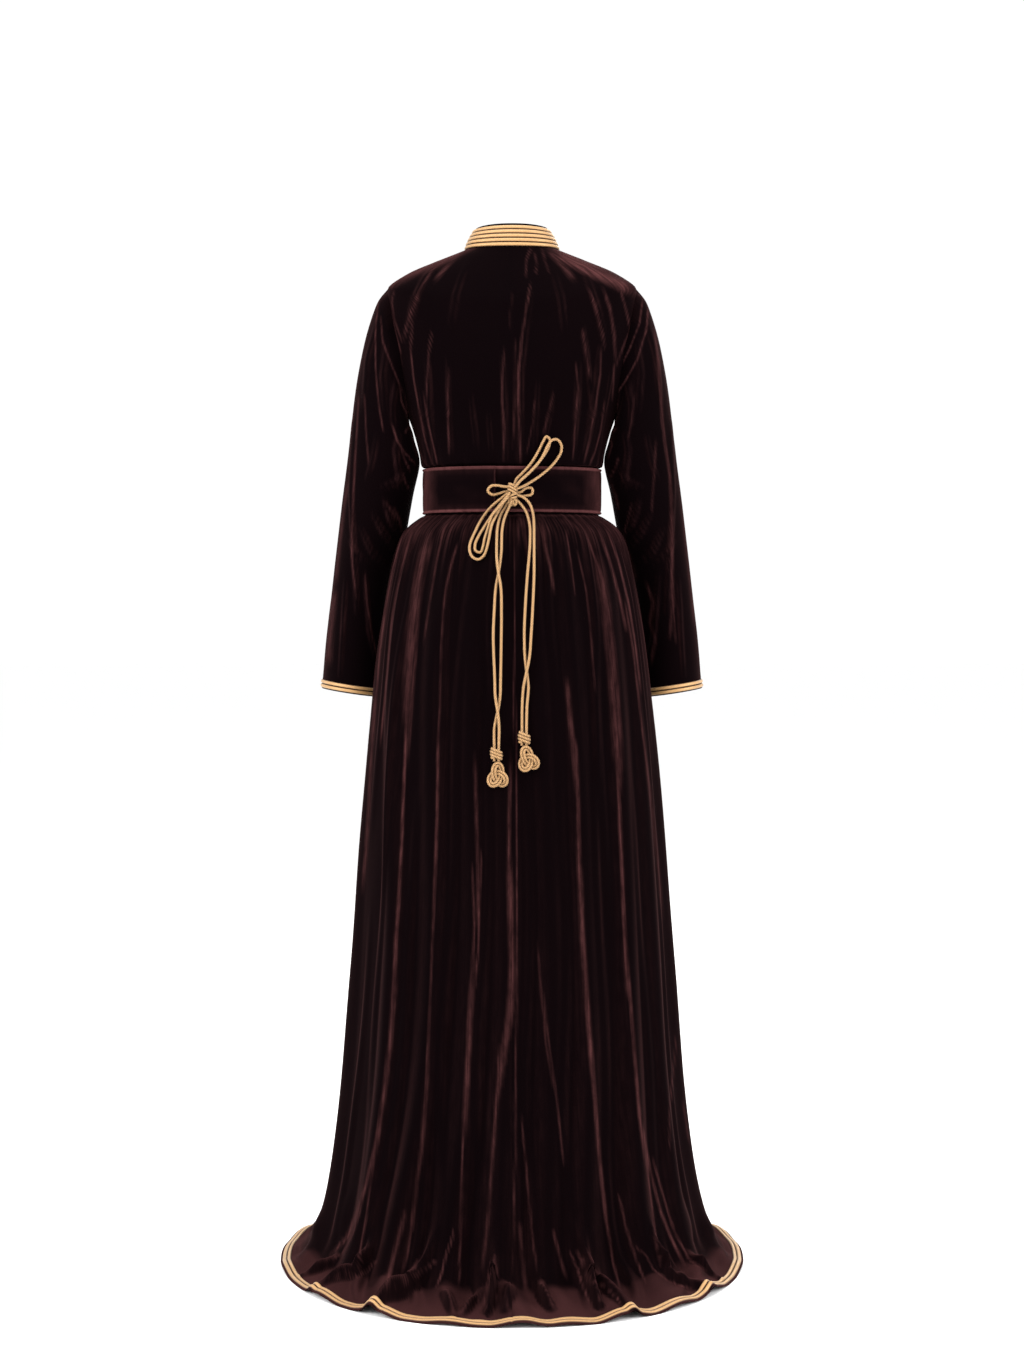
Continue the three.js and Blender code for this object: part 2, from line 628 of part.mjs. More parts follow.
// The lace of the belt. Each route is x, z and how far it is lifted off what it lies on, and
// both its ends are inside the knot or just above a wrapping.
const CORD = 4.4;
const CORD_SIDES = 8;
const CORD_GAP = 0.4;
const BOW_STEP = 10;
const TAIL_STEP = 13.2;
const OVER = CORD + 0.6; // lift of a strand that crosses over another
const REACH = CORD / 2 + 0.6; // how wide a strip of cloth a strand lies on, each way
const FAR_BEHIND = 1000;
const FINE_POINTS = 20; // between two places of a laid route

const LACE_KNOT = {
  x: -1, z: -340, halfWidth: 8.2, halfDepth: 6.6, halfHeight: 14.5, sides: 12, rings: 8,
};
const KNOT_MARGIN = 1.1;
const TAIL_ENDS = [
  { label: "left", x: 23, wrapTop: -719.7, wrapHeight: 19, knotX: 21, knotTop: -739.4, lean: 0 },
  { label: "right", x: -18, wrapTop: -696, wrapHeight: 20, knotX: -23, knotTop: -715.6, lean: 14 },
];
const WRAP = { halfWidth: 9.8, halfDepth: 6.8, turns: 3, groove: 1.5, sides: 12 };
const LOBED = { halfWidth: 16.5, height: 39, thick: 9, bevel: 2, lobes: 3, waist: 0.17, points: 24 };

const BOWS = {
  bow_up_1: [
    [-3.5, -330, 3], [-6.5, -321.5, 4], [-15.9, -311.7, 3], [-28, -298, 2], [-37.1, -283.7, 1],
    [-43.9, -270.8, 0], [-49.2, -260.2, 0], [-53.7, -255.7, 0], [-57, -261.7, 0], [-54.5, -273.8, 0],
    [-46.5, -287, 0], [-34.5, -302.5, 1], [-21, -316, 1], [-12, -323.5, 1], [-6, -332, 1],
  ],
  bow_up_2: [
    [-4, -334, 9], [-13.5, -323, 11], [-28, -309.5, 8.5], [-43, -292, 6.5], [-50, -278.9, 6],
    [-56, -267, 6], [-64.3, -260.2, 2.5], [-71.9, -265.5, 0], [-74.9, -273.8, 0],
    [-71.9, -283.7, 0], [-62, -298, 0], [-46, -313, 1], [-29, -325, 4], [-14.5, -333, 7],
    [-6, -336, 7],
  ],
  bow_down_1: [
    [3, -340, 5], [11.5, -346.5, 7], [21.9, -354.8, 6], [31.7, -363.1, 3], [46.1, -382.8, 0],
    [56.6, -404, 0], [62.5, -419.1, 0], [62.5, -431, 0], [56, -441, 0], [46, -441, 0],
    [39, -430, 0], [34, -410, 0], [30, -390, 2], [24, -377, 8.5], [17, -364, 5.5], [10, -353, 5],
    [4, -346, 5],
  ],
  bow_down_2: [
    [0, -337, 7], [9.5, -350, 13], [18, -360, 12], [29, -374.5, 7], [40, -391, 1], [49, -406, 0],
    [54.5, -418, 0], [55, -427, 0], [50, -433.5, 0], [45, -429, 0], [41, -412, 0], [34.5, -391, 0],
    [30, -376, 14.5], [20, -364, 19], [10, -353, 15], [2, -344, 5],
  ],
};
const EYES = {
  lace_eye_left: [
    [3, -333, 5], [11, -332.5, 5], [20, -331, 5], [29, -331, 4.8], [34.5, -333.5, 4.8],
    [36.3, -338, 4.8], [34.5, -342.5, 4.8], [29, -344.5, 3], [20, -343, 0], [11, -340, 0],
    [3, -339, 0],
  ],
  lace_eye_right: [
    [-4, -342, 1], [-12.5, -340.5, 1], [-18, -336.5, 1], [-24, -333, 0], [-29, -334, 0],
    [-32, -339, 0], [-29, -344, 0], [-24, -345.5, 0], [-16.5, -346, 0], [-11, -346, 0.5],
    [-3, -342, 3],
  ],
};
const TAILS = {
  tail_left_a: [
    [3, -350, 0], [8, -360, 0], [14, -369, 0], [18.4, -380, 0], [21.6, -395, 0], [22.6, -413, 0],
    [22.6, -440, 2], [20, -462.6, OVER], [16.4, -485, 2], [15.6, -525, 0], [16, -565.4, 0],
    [16.8, -618.6, 0], [17.6, -645, 0], [21.1, -667, 0], [25.8, -690, 0], [26, -719.3, 3],
  ],
  tail_left_b: [
    [0, -350, 4], [3, -360, 3], [9, -374, 1], [14.4, -395, 0], [16, -432.6, 0],
    [20, -462.6, 0], [24, -485, 0], [26.6, -525, 0], [27.7, -555, 0], [25.5, -618.6, 0],
    [24.6, -645, 2], [21.1, -667, OVER], [19, -690, 2], [19.6, -719.3, 3],
  ],
  tail_right_a: [
    [-4, -344, 5], [-12, -346, 7], [-22.8, -353, 6], [-29.5, -365.5, 1], [-32.4, -381.3, 0],
    [-32.8, -405.5, 0], [-32.8, -435, 0], [-32.6, -465.6, 0], [-30.7, -511.9, 0],
    [-28, -558, 0], [-26, -585, 2], [-21.6, -608, OVER], [-17, -630, 2], [-15, -660, 0],
    [-14.8, -695.6, 3],
  ],
  tail_right_b: [
    [-4, -349, 3], [-9, -355, 3], [-16.5, -362, 1], [-22.5, -374, 0], [-26.6, -391.9, 0],
    [-27, -413, 0], [-25.6, -435, 0], [-22.8, -465.6, 0], [-19.7, -511.9, 0],
    [-18.2, -550.6, 0], [-19, -585, 0], [-21.6, -608, 0], [-24.2, -630, 0], [-22, -660, 0],
    [-21.2, -695.6, 3],
  ],
};

// How far back the garment reaches at a place on its back, the furthest of a few near points.
function backAt(x, z, reach = REACH) {
  const cloth = [belt, bodiceBackLeft, bodiceBackRight, skirtBackLeft, skirtBackRight];
  let furthest = -Infinity;
  for (const aside of [-reach, 0, reach]) {
    for (const up of [-reach, 0, reach]) {
      const from = new THREE.Vector3(x + aside, FAR_BEHIND, z + up);
      const ray = new THREE.Raycaster(from, new THREE.Vector3(0, -1, 0));
      const hit = ray.intersectObjects(cloth)[0];
      if (hit) furthest = Math.max(furthest, hit.point.y);
    }
  }
  return furthest;
}

// Each value is at least the highest of its neighbours, and changes evenly.
function eased(values) {
  const near = (list, k) => list.slice(Math.max(0, k - 1), k + 2);
  const highest = values.map((_, k) => Math.max(...near(values, k)));
  return highest.map((_, k) => {
    const some = near(highest, k);
    return some.reduce((sum, value) => sum + value, 0) / some.length;
  });
}

function knotMiddle() {
  const { x, z, halfDepth } = LACE_KNOT;
  return new THREE.Vector3(x, backAt(x, z) + CORD_GAP + halfDepth, z);
}

function isClearOfKnot(point) {
  const { halfWidth, halfDepth, halfHeight } = LACE_KNOT;
  const off = point.clone().sub(knotMiddle());
  const share = new THREE.Vector3(halfWidth, halfDepth, halfHeight).addScalar(KNOT_MARGIN);
  return off.divide(share).length() > 1;
}

function cordCurve(route, step) {
  const flat = new THREE.CatmullRomCurve3(route.map(([x, z, lift]) => new THREE.Vector3(x, lift, z)));
  const places = flat.getSpacedPoints(Math.round(flat.getLength() / step));
  const under = eased(places.map((place) => backAt(place.x, place.z)));
  const laid = places.map((place, k) => {
    const y = under[k] + CORD / 2 + CORD_GAP + place.y;
    return new THREE.Vector3(place.x, y, place.z);
  });
  const fine = new THREE.CatmullRomCurve3(laid).getSpacedPoints(FINE_POINTS * laid.length);
  return new THREE.CatmullRomCurve3(fine.filter(isClearOfKnot));
}

function roundShape(across, sides) {
  const points = Array.from({ length: sides }, (_, k) => {
    const turn = (2 * Math.PI * (k + 0.5)) / sides;
    return new THREE.Vector2(Math.cos(turn), Math.sin(turn)).multiplyScalar(across / 2);
  });
  return new THREE.Shape(points);
}

function addCords(routes, step) {
  for (const [name, route] of Object.entries(routes)) {
    const extrudePath = cordCurve(route, step);
    const steps = Math.round(extrudePath.getLength() / step);
    const options = { steps, extrudePath, bevelEnabled: false };
    addPiece(name, new THREE.ExtrudeGeometry(roundShape(CORD, CORD_SIDES), options), gold);
  }
}

function addLaceKnot() {
  const { halfWidth, halfDepth, halfHeight, sides, rings } = LACE_KNOT;
  const knot = addPiece("lace_knot", new THREE.SphereGeometry(1, sides, rings), gold);
  knot.scale.set(halfWidth, halfDepth, halfHeight);
  knot.position.copy(knotMiddle());
}

// The wrapping round both strands of a tail: turns of cord, one below the other.
function addWrap({ label, x, wrapTop, wrapHeight }) {
  const { halfWidth, halfDepth, turns, groove, sides } = WRAP;
  const turnHeight = wrapHeight / turns;
  const profile = [new THREE.Vector2(0, 0)];
  for (let turn = 0; turn < turns; turn += 1) {
    profile.push(new THREE.Vector2(halfWidth - groove, turn * turnHeight));
    profile.push(new THREE.Vector2(halfWidth, (turn + 0.5) * turnHeight));
  }
  profile.push(new THREE.Vector2(halfWidth - groove, wrapHeight), new THREE.Vector2(0, wrapHeight));
  const wrap = addPiece(`tail_wrap_${label}`, new THREE.LatheGeometry(profile, sides), gold);
  wrap.rotation.x = Math.PI / 2;
  wrap.scale.z = halfDepth / halfWidth;
  const bottom = wrapTop - wrapHeight;
  const back = Math.max(backAt(x, wrapTop, halfWidth), backAt(x, bottom, halfWidth));
  wrap.position.set(x, back + CORD_GAP + halfDepth, bottom);
}

// The flat knot at the end of a tail: three lobes of doubled cord under one outline.
function addTailKnot({ label, knotX, knotTop, lean }) {
  const { halfWidth, height, thick, bevel, lobes, waist, points } = LOBED;
  const outline = Array.from({ length: points }, (_, k) => {
    const turn = (2 * Math.PI * k) / points;
    const reach = 1 + waist * (Math.cos(lobes * (turn - Math.PI / 2)) - 1);
    const across = (halfWidth - bevel) * reach * Math.cos(turn);
    return new THREE.Vector2(across, (height / 2 - bevel) * reach * Math.sin(turn));
  });
  const options = { depth: thick - 2 * bevel, bevelThickness: bevel, bevelSize: bevel, bevelSegments: 1 };
  const geometry = new THREE.ExtrudeGeometry(new THREE.Shape(outline), options);
  const knot = addPiece(`tail_knot_${label}`, geometry, gold);
  knot.rotation.set(Math.PI / 2, 0, THREE.MathUtils.degToRad(lean), "YXZ");
  const middle = knotTop - height / 2;
  const back = Math.max(backAt(knotX, middle, height / 2), backAt(knotX, middle, height / 4));
  knot.position.set(knotX, back + 2 * CORD_GAP + thick - bevel, middle);
}

addCords(BOWS, BOW_STEP);
addCords(EYES, BOW_STEP);
addCords(TAILS, TAIL_STEP);
addLaceKnot();
TAIL_ENDS.forEach(addWrap);
TAIL_ENDS.forEach(addTailKnot);

export default kaftan;
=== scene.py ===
# A long velvet kaftan in its worn form, seen from behind: a gathered skirt with a short train,
# a bodice, set-in sleeves, a stand collar, plaited gold braid on the edges, and a wide belt that
# a gold lace ties at the back. Tables are in millimetres and degrees, +Z is up, +Y is the back.
import json
import math

import bpy
import numpy as np
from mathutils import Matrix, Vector
from mathutils.bvhtree import BVHTree

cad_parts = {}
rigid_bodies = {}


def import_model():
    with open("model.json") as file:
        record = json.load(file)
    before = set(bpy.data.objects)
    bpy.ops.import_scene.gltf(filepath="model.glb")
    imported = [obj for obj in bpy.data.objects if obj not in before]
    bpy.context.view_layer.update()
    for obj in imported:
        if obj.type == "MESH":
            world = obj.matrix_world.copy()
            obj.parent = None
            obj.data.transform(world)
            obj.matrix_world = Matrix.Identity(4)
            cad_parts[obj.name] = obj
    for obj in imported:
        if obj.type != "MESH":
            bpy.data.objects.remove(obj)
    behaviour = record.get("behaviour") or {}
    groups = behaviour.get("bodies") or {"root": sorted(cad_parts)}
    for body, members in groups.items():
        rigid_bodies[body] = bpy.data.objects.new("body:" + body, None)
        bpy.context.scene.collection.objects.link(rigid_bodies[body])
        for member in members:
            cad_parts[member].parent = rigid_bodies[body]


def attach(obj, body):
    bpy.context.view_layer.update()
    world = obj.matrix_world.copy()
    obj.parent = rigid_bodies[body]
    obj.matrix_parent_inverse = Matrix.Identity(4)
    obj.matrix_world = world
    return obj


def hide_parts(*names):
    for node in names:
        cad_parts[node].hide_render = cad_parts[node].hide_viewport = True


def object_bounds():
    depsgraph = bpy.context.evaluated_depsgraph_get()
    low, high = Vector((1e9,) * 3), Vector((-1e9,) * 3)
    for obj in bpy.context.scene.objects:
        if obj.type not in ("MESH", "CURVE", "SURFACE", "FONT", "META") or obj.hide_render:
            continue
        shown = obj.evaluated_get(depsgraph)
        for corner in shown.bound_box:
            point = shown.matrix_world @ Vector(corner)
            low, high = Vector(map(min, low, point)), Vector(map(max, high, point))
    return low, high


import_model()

bl_info = {
    "name": "Velvet Kaftan",
    "version": (1, 0, 0),
    "blender": (4, 5, 0),
    "location": "3D View > Sidebar > Kaftan",
    "description": "Makes a long velvet kaftan with gold braid, a laced belt and a short train",
    "category": "Add Mesh",
}

CAD_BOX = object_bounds()
MM = 0.001

# Rings of the skirt and the bodice: half width, depths and heights, as the frame has them
COLUMNS = ("side", "back", "front", "middle", "z_side", "z_back", "z_front")
SKIRT = {
    "waist": (129.5, 90, 88, 0, -336, -336, -336),
    "belt bottom": (132, 93, 91, 0, -369, -369, -369),
    "below belt": (143, 103, 99, 0, -379, -379, -379),
    "spring": (167, 122, 111, 0, -402, -400, -400),
    "high hip": (185, 146, 122, 0, -460, -455, -458),
    "hip": (202, 160, 130, 0, -551, -545, -548),
    "thigh": (218, 172, 137, 0, -690, -682, -685),
    "knee": (233, 189, 152, 0, -870, -858, -862),
    "calf": (246, 216, 176, 0, -1060, -1045, -1050),
    "shin": (260, 246, 204, 2, -1240, -1220, -1228),
    "ankle": (277, 272, 228, 8, -1375, -1350, -1362),
    "break": (300, 296, 251, 20, -1462, -1450, -1442),
    "floor": (317, 316, 274, 38, -1487, -1486, -1466),
    "train": (327, 350, 291, 52, -1493, -1493, -1475),
    "braid": (335, 386, 299, 58, -1495, -1496, -1480.5),
    "hem": (352, 402, 308, 60, -1498, -1498, -1498),
}
BODICE = {
    "neck": (72, 62, 63, -12, 36, 34, -20),
    "slope": (115, 69, 75, -8, 19, 10, -46),
    "shoulder": (161, 79, 88, -4, -1, -20, -76),
    "armhole top": (191, 88, 98, 0, -24, -54, -104),
    "armhole 1": (192, 92, 104, 0, -38, -78, -122),
    "armhole 2": (191, 97, 110, 0, -74, -108, -142),
    "armhole 3": (187, 101, 115, 0, -125, -146, -166),
    "armhole 4": (176, 102, 116, 0, -175, -186, -196),
    "armhole 5": (165, 100, 113, 0, -211, -216, -220),
    "underarm": (158, 99, 110, 0, -225, -236, -238),
    "rib": (149.5, 98, 104, 0, -250, -258, -260),
    "blouse": (142, 99, 99, 0, -278, -282, -283),
    "over belt": (138, 96.5, 95, 0, -296.5, -296.5, -296.5),
    "under belt": (130, 90, 88, 0, -300, -300, -300),
    "waist": (128, 88.5, 86.5, 0, -335.7, -335.7, -335.7),
}
# Angles of the armhole's back and front edges at each ring of the bodice
ARM_BACK = (90, 90, 90, 90, 79, 71, 64.5, 67, 74, 90, 90, 90, 90, 90, 90)
ARM_FRONT = (90, 90, 90, 90, 78, 69, 62, 65, 73, 90, 90, 90, 90, 90, 90)
# The armhole's first ring, and how many rings it spans
ARMHOLE_TOP = list(BODICE).index("armhole top")
ARMHOLE_SPAN = 6
# How square the rings are, where 2 makes an ellipse
SKIRT_ROUNDNESS = 2.1
BODICE_ROUNDNESS = 2.2

# Rings of a sleeve: outer x, outer z, inner x, inner z, how far forward, half depth
SLEEVE = (
    (206, -43, 157.6, -234, 0, 54),
    (222, -88, 152.8, -245, 1, 58),
    (236, -150, 148.4, -262, 4, 61),
    (247, -225, 142.5, -290, 10, 62),
    (258, -310, 153, -338, 22, 63),
    (270, -392, 166, -404, 42, 63),
    (281, -470, 188, -478, 66, 61),
    (291, -545, 197, -552, 80, 62),
    (298, -612, 202, -624, 90, 65),
    (301, -640, 203, -655, 92, 67),
)
# The collar's lower and upper ring in the same columns, how far it bulges, half the angle
# between its ends, and its height
COLLAR_BASE = (72, 62, 63, -12, 36, 34, -20)
COLLAR_TOP = (56, 53, 48, -14, 69, 71, 14)
COLLAR_BULGE = 2
COLLAR_OPENING = 1.5
COLLAR_HEIGHT = 38

# Braids: how many rows, where the first starts, from row to row, and how wide each is
BRAID_COLUMNS = ("rows", "first", "pitch", "width")
COLLAR_BRAID = dict(zip(BRAID_COLUMNS, (5, 1, 6.9, 6.2)))
CUFF_BRAID = dict(zip(BRAID_COLUMNS, (2, 1.4, 6.5, 5.9)))
HEM_BRAID = dict(zip(BRAID_COLUMNS, (2, 3, 7.2, 6.4)))

# Standing folds of the skirt: angles at the hip, calf, break and braid, heights there, half width
FOLD_STATIONS = ("spring", "hip", "calf", "break", "braid")
FOLDS = (
    ((78, 76, 74, 76), (1.5, 8, 10, 5), 9),
    ((58, 45, 47, 51), (6, 12, 16, 8), 9),
    ((33, 27, 34, 32), (7, 12, 20, 9), 8),
    ((16, 12, 17, 14), (5, 9, 14, 4), 7.5),
    ((5, 2, 3.5, -2), (3, 8, 28, 8), 7),
    ((-10, -13, -9, -12), (5, 10, 14, 4), 7.5),
    ((-24, -25, -19, -26), (6, 12, 18, 9), 8),
    ((-46, -43, -38, -42), (7, 12, 20, 6), 9),
    ((-62, -59, -57, -55), (3, 8, 13, 9), 8),
    ((-80, -79, -78, -77), (1.5, 8, 10, 5), 9),
    ((112, 110, 108, 110), (0, 7, 9, 4), 12),
    ((138, 135, 137, 136), (4, 10, 11, 5), 12),
    ((163, 162, 164, 165), (3, 9, 10, 4), 11),
    ((-166, -163, -162, -160), (3, 9, 10, 4), 11),
    ((-140, -138, -135, -137), (4, 10, 11, 5), 12),
    ((-113, -111, -112, -110), (0, 7, 9, 4), 12),
)
# Height of the gathers at each ring, and how many half waves lie on a quarter of the skirt
GATHER_HEIGHT = (0.3, 0.5, 2, 4, 2.8, 0.9, 0, 0, 0, 0)
BACK_GATHERS = 26
FRONT_GATHERS = 16
# How far the gathers sway, how fast that changes round the waist, and the angle where they sway
# most
GATHER_SWAY = 0.7
SWAY_PACE = 0.19
SWAY_MIDDLE = 45
# How unlike the gathers' depths and lengths are, how narrow their crests, and how high the fine
# ones are, the ring where they are highest and over how many rings they fade
GATHER_DEPTHS = 0.25
GATHER_LENGTHS = 0.16
GATHER_CREST = 1.2
FINE_GATHERS = 0.5
FINE_GATHER_RING = 2.6
FINE_GATHER_SPAN = 1.6

# Creases of the skirt: the rings where each starts and ends, its angle there, half width, height
SKIRT_CREASES = (
    (2.2, 6.8, 29, 27, 3.2, 3.5),
    (2.0, 7.5, -15, -17, 3.0, 3.5),
    (2.4, 8.5, -37, -34, 3.4, 4.0),
    (3.0, 9.0, -67, -68, 3.5, 3.0),
    (2.6, 7.0, 67, 66, 3.5, 3.0),
    (3.5, 10.5, 52, 53, 3.2, 4.0),
    (4.5, 11.2, 20, 22, 3.0, 4.5),
    (2.1, 6.0, 9.5, 7, 2.4, 3.0),
    (5.5, 11.0, 7.5, 10, 2.4, 4.0),
    (2.1, 5.2, -4.5, -6, 2.2, 3.0),
    (6.0, 11.5, -5.5, -3.5, 2.6, 5.0),
    (6.2, 11.3, -19, -14, 2.6, 4.0),
    (5.0, 11.0, -33, -29, 3.0, 4.5),
    (6.5, 11.4, 36, 41, 3.2, 5.0),
    (6.5, 11.3, -52, -49, 3.2, 4.5),
    (7.5, 11.5, 62, 64, 3.4, 4.0),
    (7.5, 11.5, -68, -66, 3.2, 4.0),
    (9.0, 13.4, 27, 24, 2.6, 7.0),
    (9.4, 13.6, -28, -33, 2.6, 6.0),
    (10.2, 14.2, 9, 6, 2.4, 5.0),
    (10.4, 14.0, -15, -20, 2.4, 5.0),
    (10.0, 13.8, 43, 41, 2.8, 6.0),
    (10.0, 13.8, -47, -48, 2.8, 6.0),
    (2.5, 9.5, 98, 97, 3.6, 3.5),
    (2.5, 9.0, 124, 122, 3.8, 3.5),
    (3.5, 11.0, 150, 149, 4.0, 4.0),
    (2.5, 8.0, 175, 174, 3.6, 3.0),
    (2.5, 9.5, -98, -96, 3.6, 3.5),
    (2.5, 9.0, -125, -123, 3.8, 3.5),
    (3.5, 11.0, -151, -149, 4.0, 4.0),
    (2.5, 8.0, -175, -174, 3.6, 3.0),
)
# Where the cloth buckles as it meets the floor: angle, ring, half width, half height, height
SKIRT_BUCKLES = (
    (76, 10.9, 7, 0.5, 5), (60, 10.5, 6, 0.45, 4), (-63, 10.6, 6, 0.45, 4), (-76, 11, 7, 0.5, 5),
    (100, 10.6, 8, 0.6, 4), (125, 10.4, 8, 0.6, 4), (150, 10.6, 8, 0.6, 4), (176, 10.4, 7, 0.6, 4),
    (-100, 10.6, 8, 0.6, 4), (-126, 10.5, 8, 0.6, 4), (-151, 10.6, 8, 0.6, 4),
)
# How much of their height the train's folds have, the ring where they start, and over how many
# rings they come up
TRAIN_RISE = 1.3
TRAIN_START = 10.4
TRAIN_FADE = 0.9
# A fold's height along its line is a part of a half wave: where it starts, how much of it there
# is, and how late it comes up
TRAIN_WAVE_START = 0.1
TRAIN_WAVE_SPAN = 0.86
TRAIN_WAVE_DELAY = 1.3
# Folds that stand on the train: half width, height, and points x, y from the hem inwards
TRAIN_FOLDS = (
    (15, 13, ((285, 292), (262, 280), (232, 268), (196, 246))),
    (12, 17, ((236, 268), (212, 256), (196, 244), (188, 226))),
    (17, 21, ((197, 396), (166, 346), (138, 312), (110, 284))),
    (12, 20, ((146, 316), (124, 296), (108, 280), (98, 256))),
    (11, 10, ((80, 428), (88, 384), (94, 352))),
    (9, 9, ((70, 424), (56, 376), (46, 346))),
    (7, 30, ((33, 420), (30, 386), (26, 346), (22, 312))),
    (9, 10, ((8, 424), (4, 390), (2, 356))),
    (10, 13, ((-56, 410), (-46, 376), (-38, 336))),
    (10, 24, ((-122, 400), (-112, 352), (-102, 308), (-92, 272))),
    (14, 15, ((-168, 412), (-146, 372), (-124, 334), (-110, 306))),
    (15, 13, ((-290, 300), (-258, 290), (-226, 272), (-196, 240))),
    (12, 19, ((-236, 276), (-214, 258), (-198, 240), (-188, 216))),
    (12, 12, ((-300, 230), (-276, 214), (-252, 206))),
    (12, 12, ((304, 214), (280, 202), (256, 196))),
)

# How far a crease sways, how deep the cloth is uneven, and how deep the centre seam lies
CREASE_SWAY = 0.8
SKIRT_DRIFT = 1.2
SEAM_DEPTH = 0.9
# The ring above which the skirt's creases are, and how fast they end there
CREASES_END = 14
CREASES_FADE = 1.6

# Lengthwise folds of the bodice: angle at the shoulder blade and at the belt, and height
BODICE_FOLDS = (
    (48, 44, 3.5), (26, 22, 2.5), (-26, -30, 3), (-50, -46, 3.5), (140, 146, 2.5), (-140, -146, 2.5),
)
BODICE_FOLD_HALF_WIDTH = 13
# Height of the tucks that run into the belt, how close they stand, over how many rings they
# fade, and the ring where they run in
TUCK_HEIGHT = 1.1
TUCK_PACE = 0.62
TUCK_SPAN = 2.2
BELT_RING = list(BODICE).index("over belt")
# Share of a crease's half wave that is left out at each of its ends
CREASE_END = 0.12
# Creases on the back of the bodice and the sleeves: half width, height, and points x, z
BODICE_CREASES = (
    (8, 2.6, ((-29, -30), (-13, -155), (-11, -292))),
    (7, 2.2, ((14, -130), (11, -220), (9, -290))),
    (7, 2.2, ((95, -140), (94, -220), (92, -290))),
    (7, 2.6, ((128, -130), (122, -220), (115, -294))),
    (8, 2.6, ((-99, -150), (-96, -220), (-91, -294))),
    (7, 2.4, ((-105, -90), (-114, -150), (-119, -200))),
    (7, 2.4, ((-134, -120), (-120, -220), (-108, -294))),
    (5, 1.8, ((-39, -171), (-34, -280))),
    (5, 1.8, ((-64, -183), (-47, -280))),
    (6, 1.8, ((62, -190), (52, -285))),
    (5, 1.6, ((36, -215), (31, -290))),
    (9, 3.0, ((113, 12), (133, -16), (147, -48), (159, -105))),
    (8, 2.6, ((-108, 5), (-118, -28), (-130, -66), (-140, -112))),
    (9, 2.2, ((70, 5), (84, -40), (92, -95))),
    (9, 2.2, ((-62, 0), (-74, -50), (-80, -105))),
    (6, 2.0, ((150, -140), (140, -200), (132, -262))),
    (6, 2.0, ((-152, -140), (-142, -200), (-132, -262))),
)
FRONT_CREASES = (
    (9, 2.4, ((118, -30), (100, -110), (84, -170))),
    (9, 2.4, ((-118, -30), (-100, -110), (-84, -170))),
    (7, 2.2, ((110, -180), (96, -292))),
    (7, 2.2, ((-110, -180), (-96, -292))),
    (7, 2.0, ((66, -170), (50, -292))),
    (7, 2.0, ((-66, -170), (-50, -292))),
    (6, 1.8, ((20, -190), (16, -290))),
    (6, 1.8, ((-22, -185), (-16, -290))),
)
# How far the front's creases are moved off the back's, and how deep they and the waves are
SLEEVE_FRONT_SHIFT = (6, 0, 12)
SLEEVE_FRONT_SHARE = 0.8
SLEEVE_WAVES = 0.7
# How fast a sleeve's creases come up below the armhole and above the cuff, and how sharply they
# end at its inner and outer line
SLEEVE_RISE_BELOW = 9
SLEEVE_RISE_ABOVE = 22
SLEEVE_SIDES = 0.35
SLEEVE_CREASES = (
    (7, 3.0, ((244, -230), (247, -330), (244, -420), (240, -520))),
    (6, 2.6, ((226, -465), (222, -550), (208, -615))),
    (6, 2.6, ((258, -470), (262, -540), (268, -620))),
    (7, 3.2, ((172, -250), (177, -275), (171, -335))),
    (6, 3.2, ((163, -300), (178, -322), (197, -330))),
    (6, 3.4, ((195, -350), (186, -382), (171, -402))),
    (6, 3.0, ((212, -372), (198, -398), (178, -424))),
    (6, 2.6, ((232, -392), (216, -428), (192, -452))),
    (6, 2.2, ((254, -404), (238, -432), (222, -446))),
    (8, 3.0, ((205, -75), (220, -135), (226, -205))),
    (8, 2.4, ((190, -110), (196, -160), (192, -215))),
    (7, 2.4, ((174, -165), (182, -205), (180, -236))),
    (6, 2.2, ((205, -250), (212, -290), (222, -318))),
)

# Where the garment is seen from: how far behind its origin, and how high
VIEW_DISTANCE = 4200
VIEW_HEIGHT = -410
# How much light lies on the flanks of folds, and of the gathers round a ring
FLANK_LIGHT = 0.2
SKIRT_FLANK_LIGHT = 0.05
GATHER_LIGHT = 0.42
GATHER_LIGHT_RING = 2.5
GATHER_LIGHT_SPAN = 1.8
# How upright a normal is where cloth starts to lie flat, and over how much more it does; cloth that lies
# flat gets a painted highlight
FLAT_FROM = 0.74
FLAT_SPAN = 0.22
# How far a flank's normal has to lean off those round it to show light, and how fast it comes
FLANK_FROM = 0.16
FLANK_GAIN = 2.2
# The height where the front's light lines have faded out, and how far above it they start to
FRONT_LIGHT_END = -1330
FRONT_LIGHT_FADE = 130
# Share of a light line's length in which it fades, its strength at its tips, and how much
# cloth has to face the view to be fully lit
LINE_FADE = 0.1
LINE_TIP_LIGHT = 0.25
FULLY_FACING = 0.25
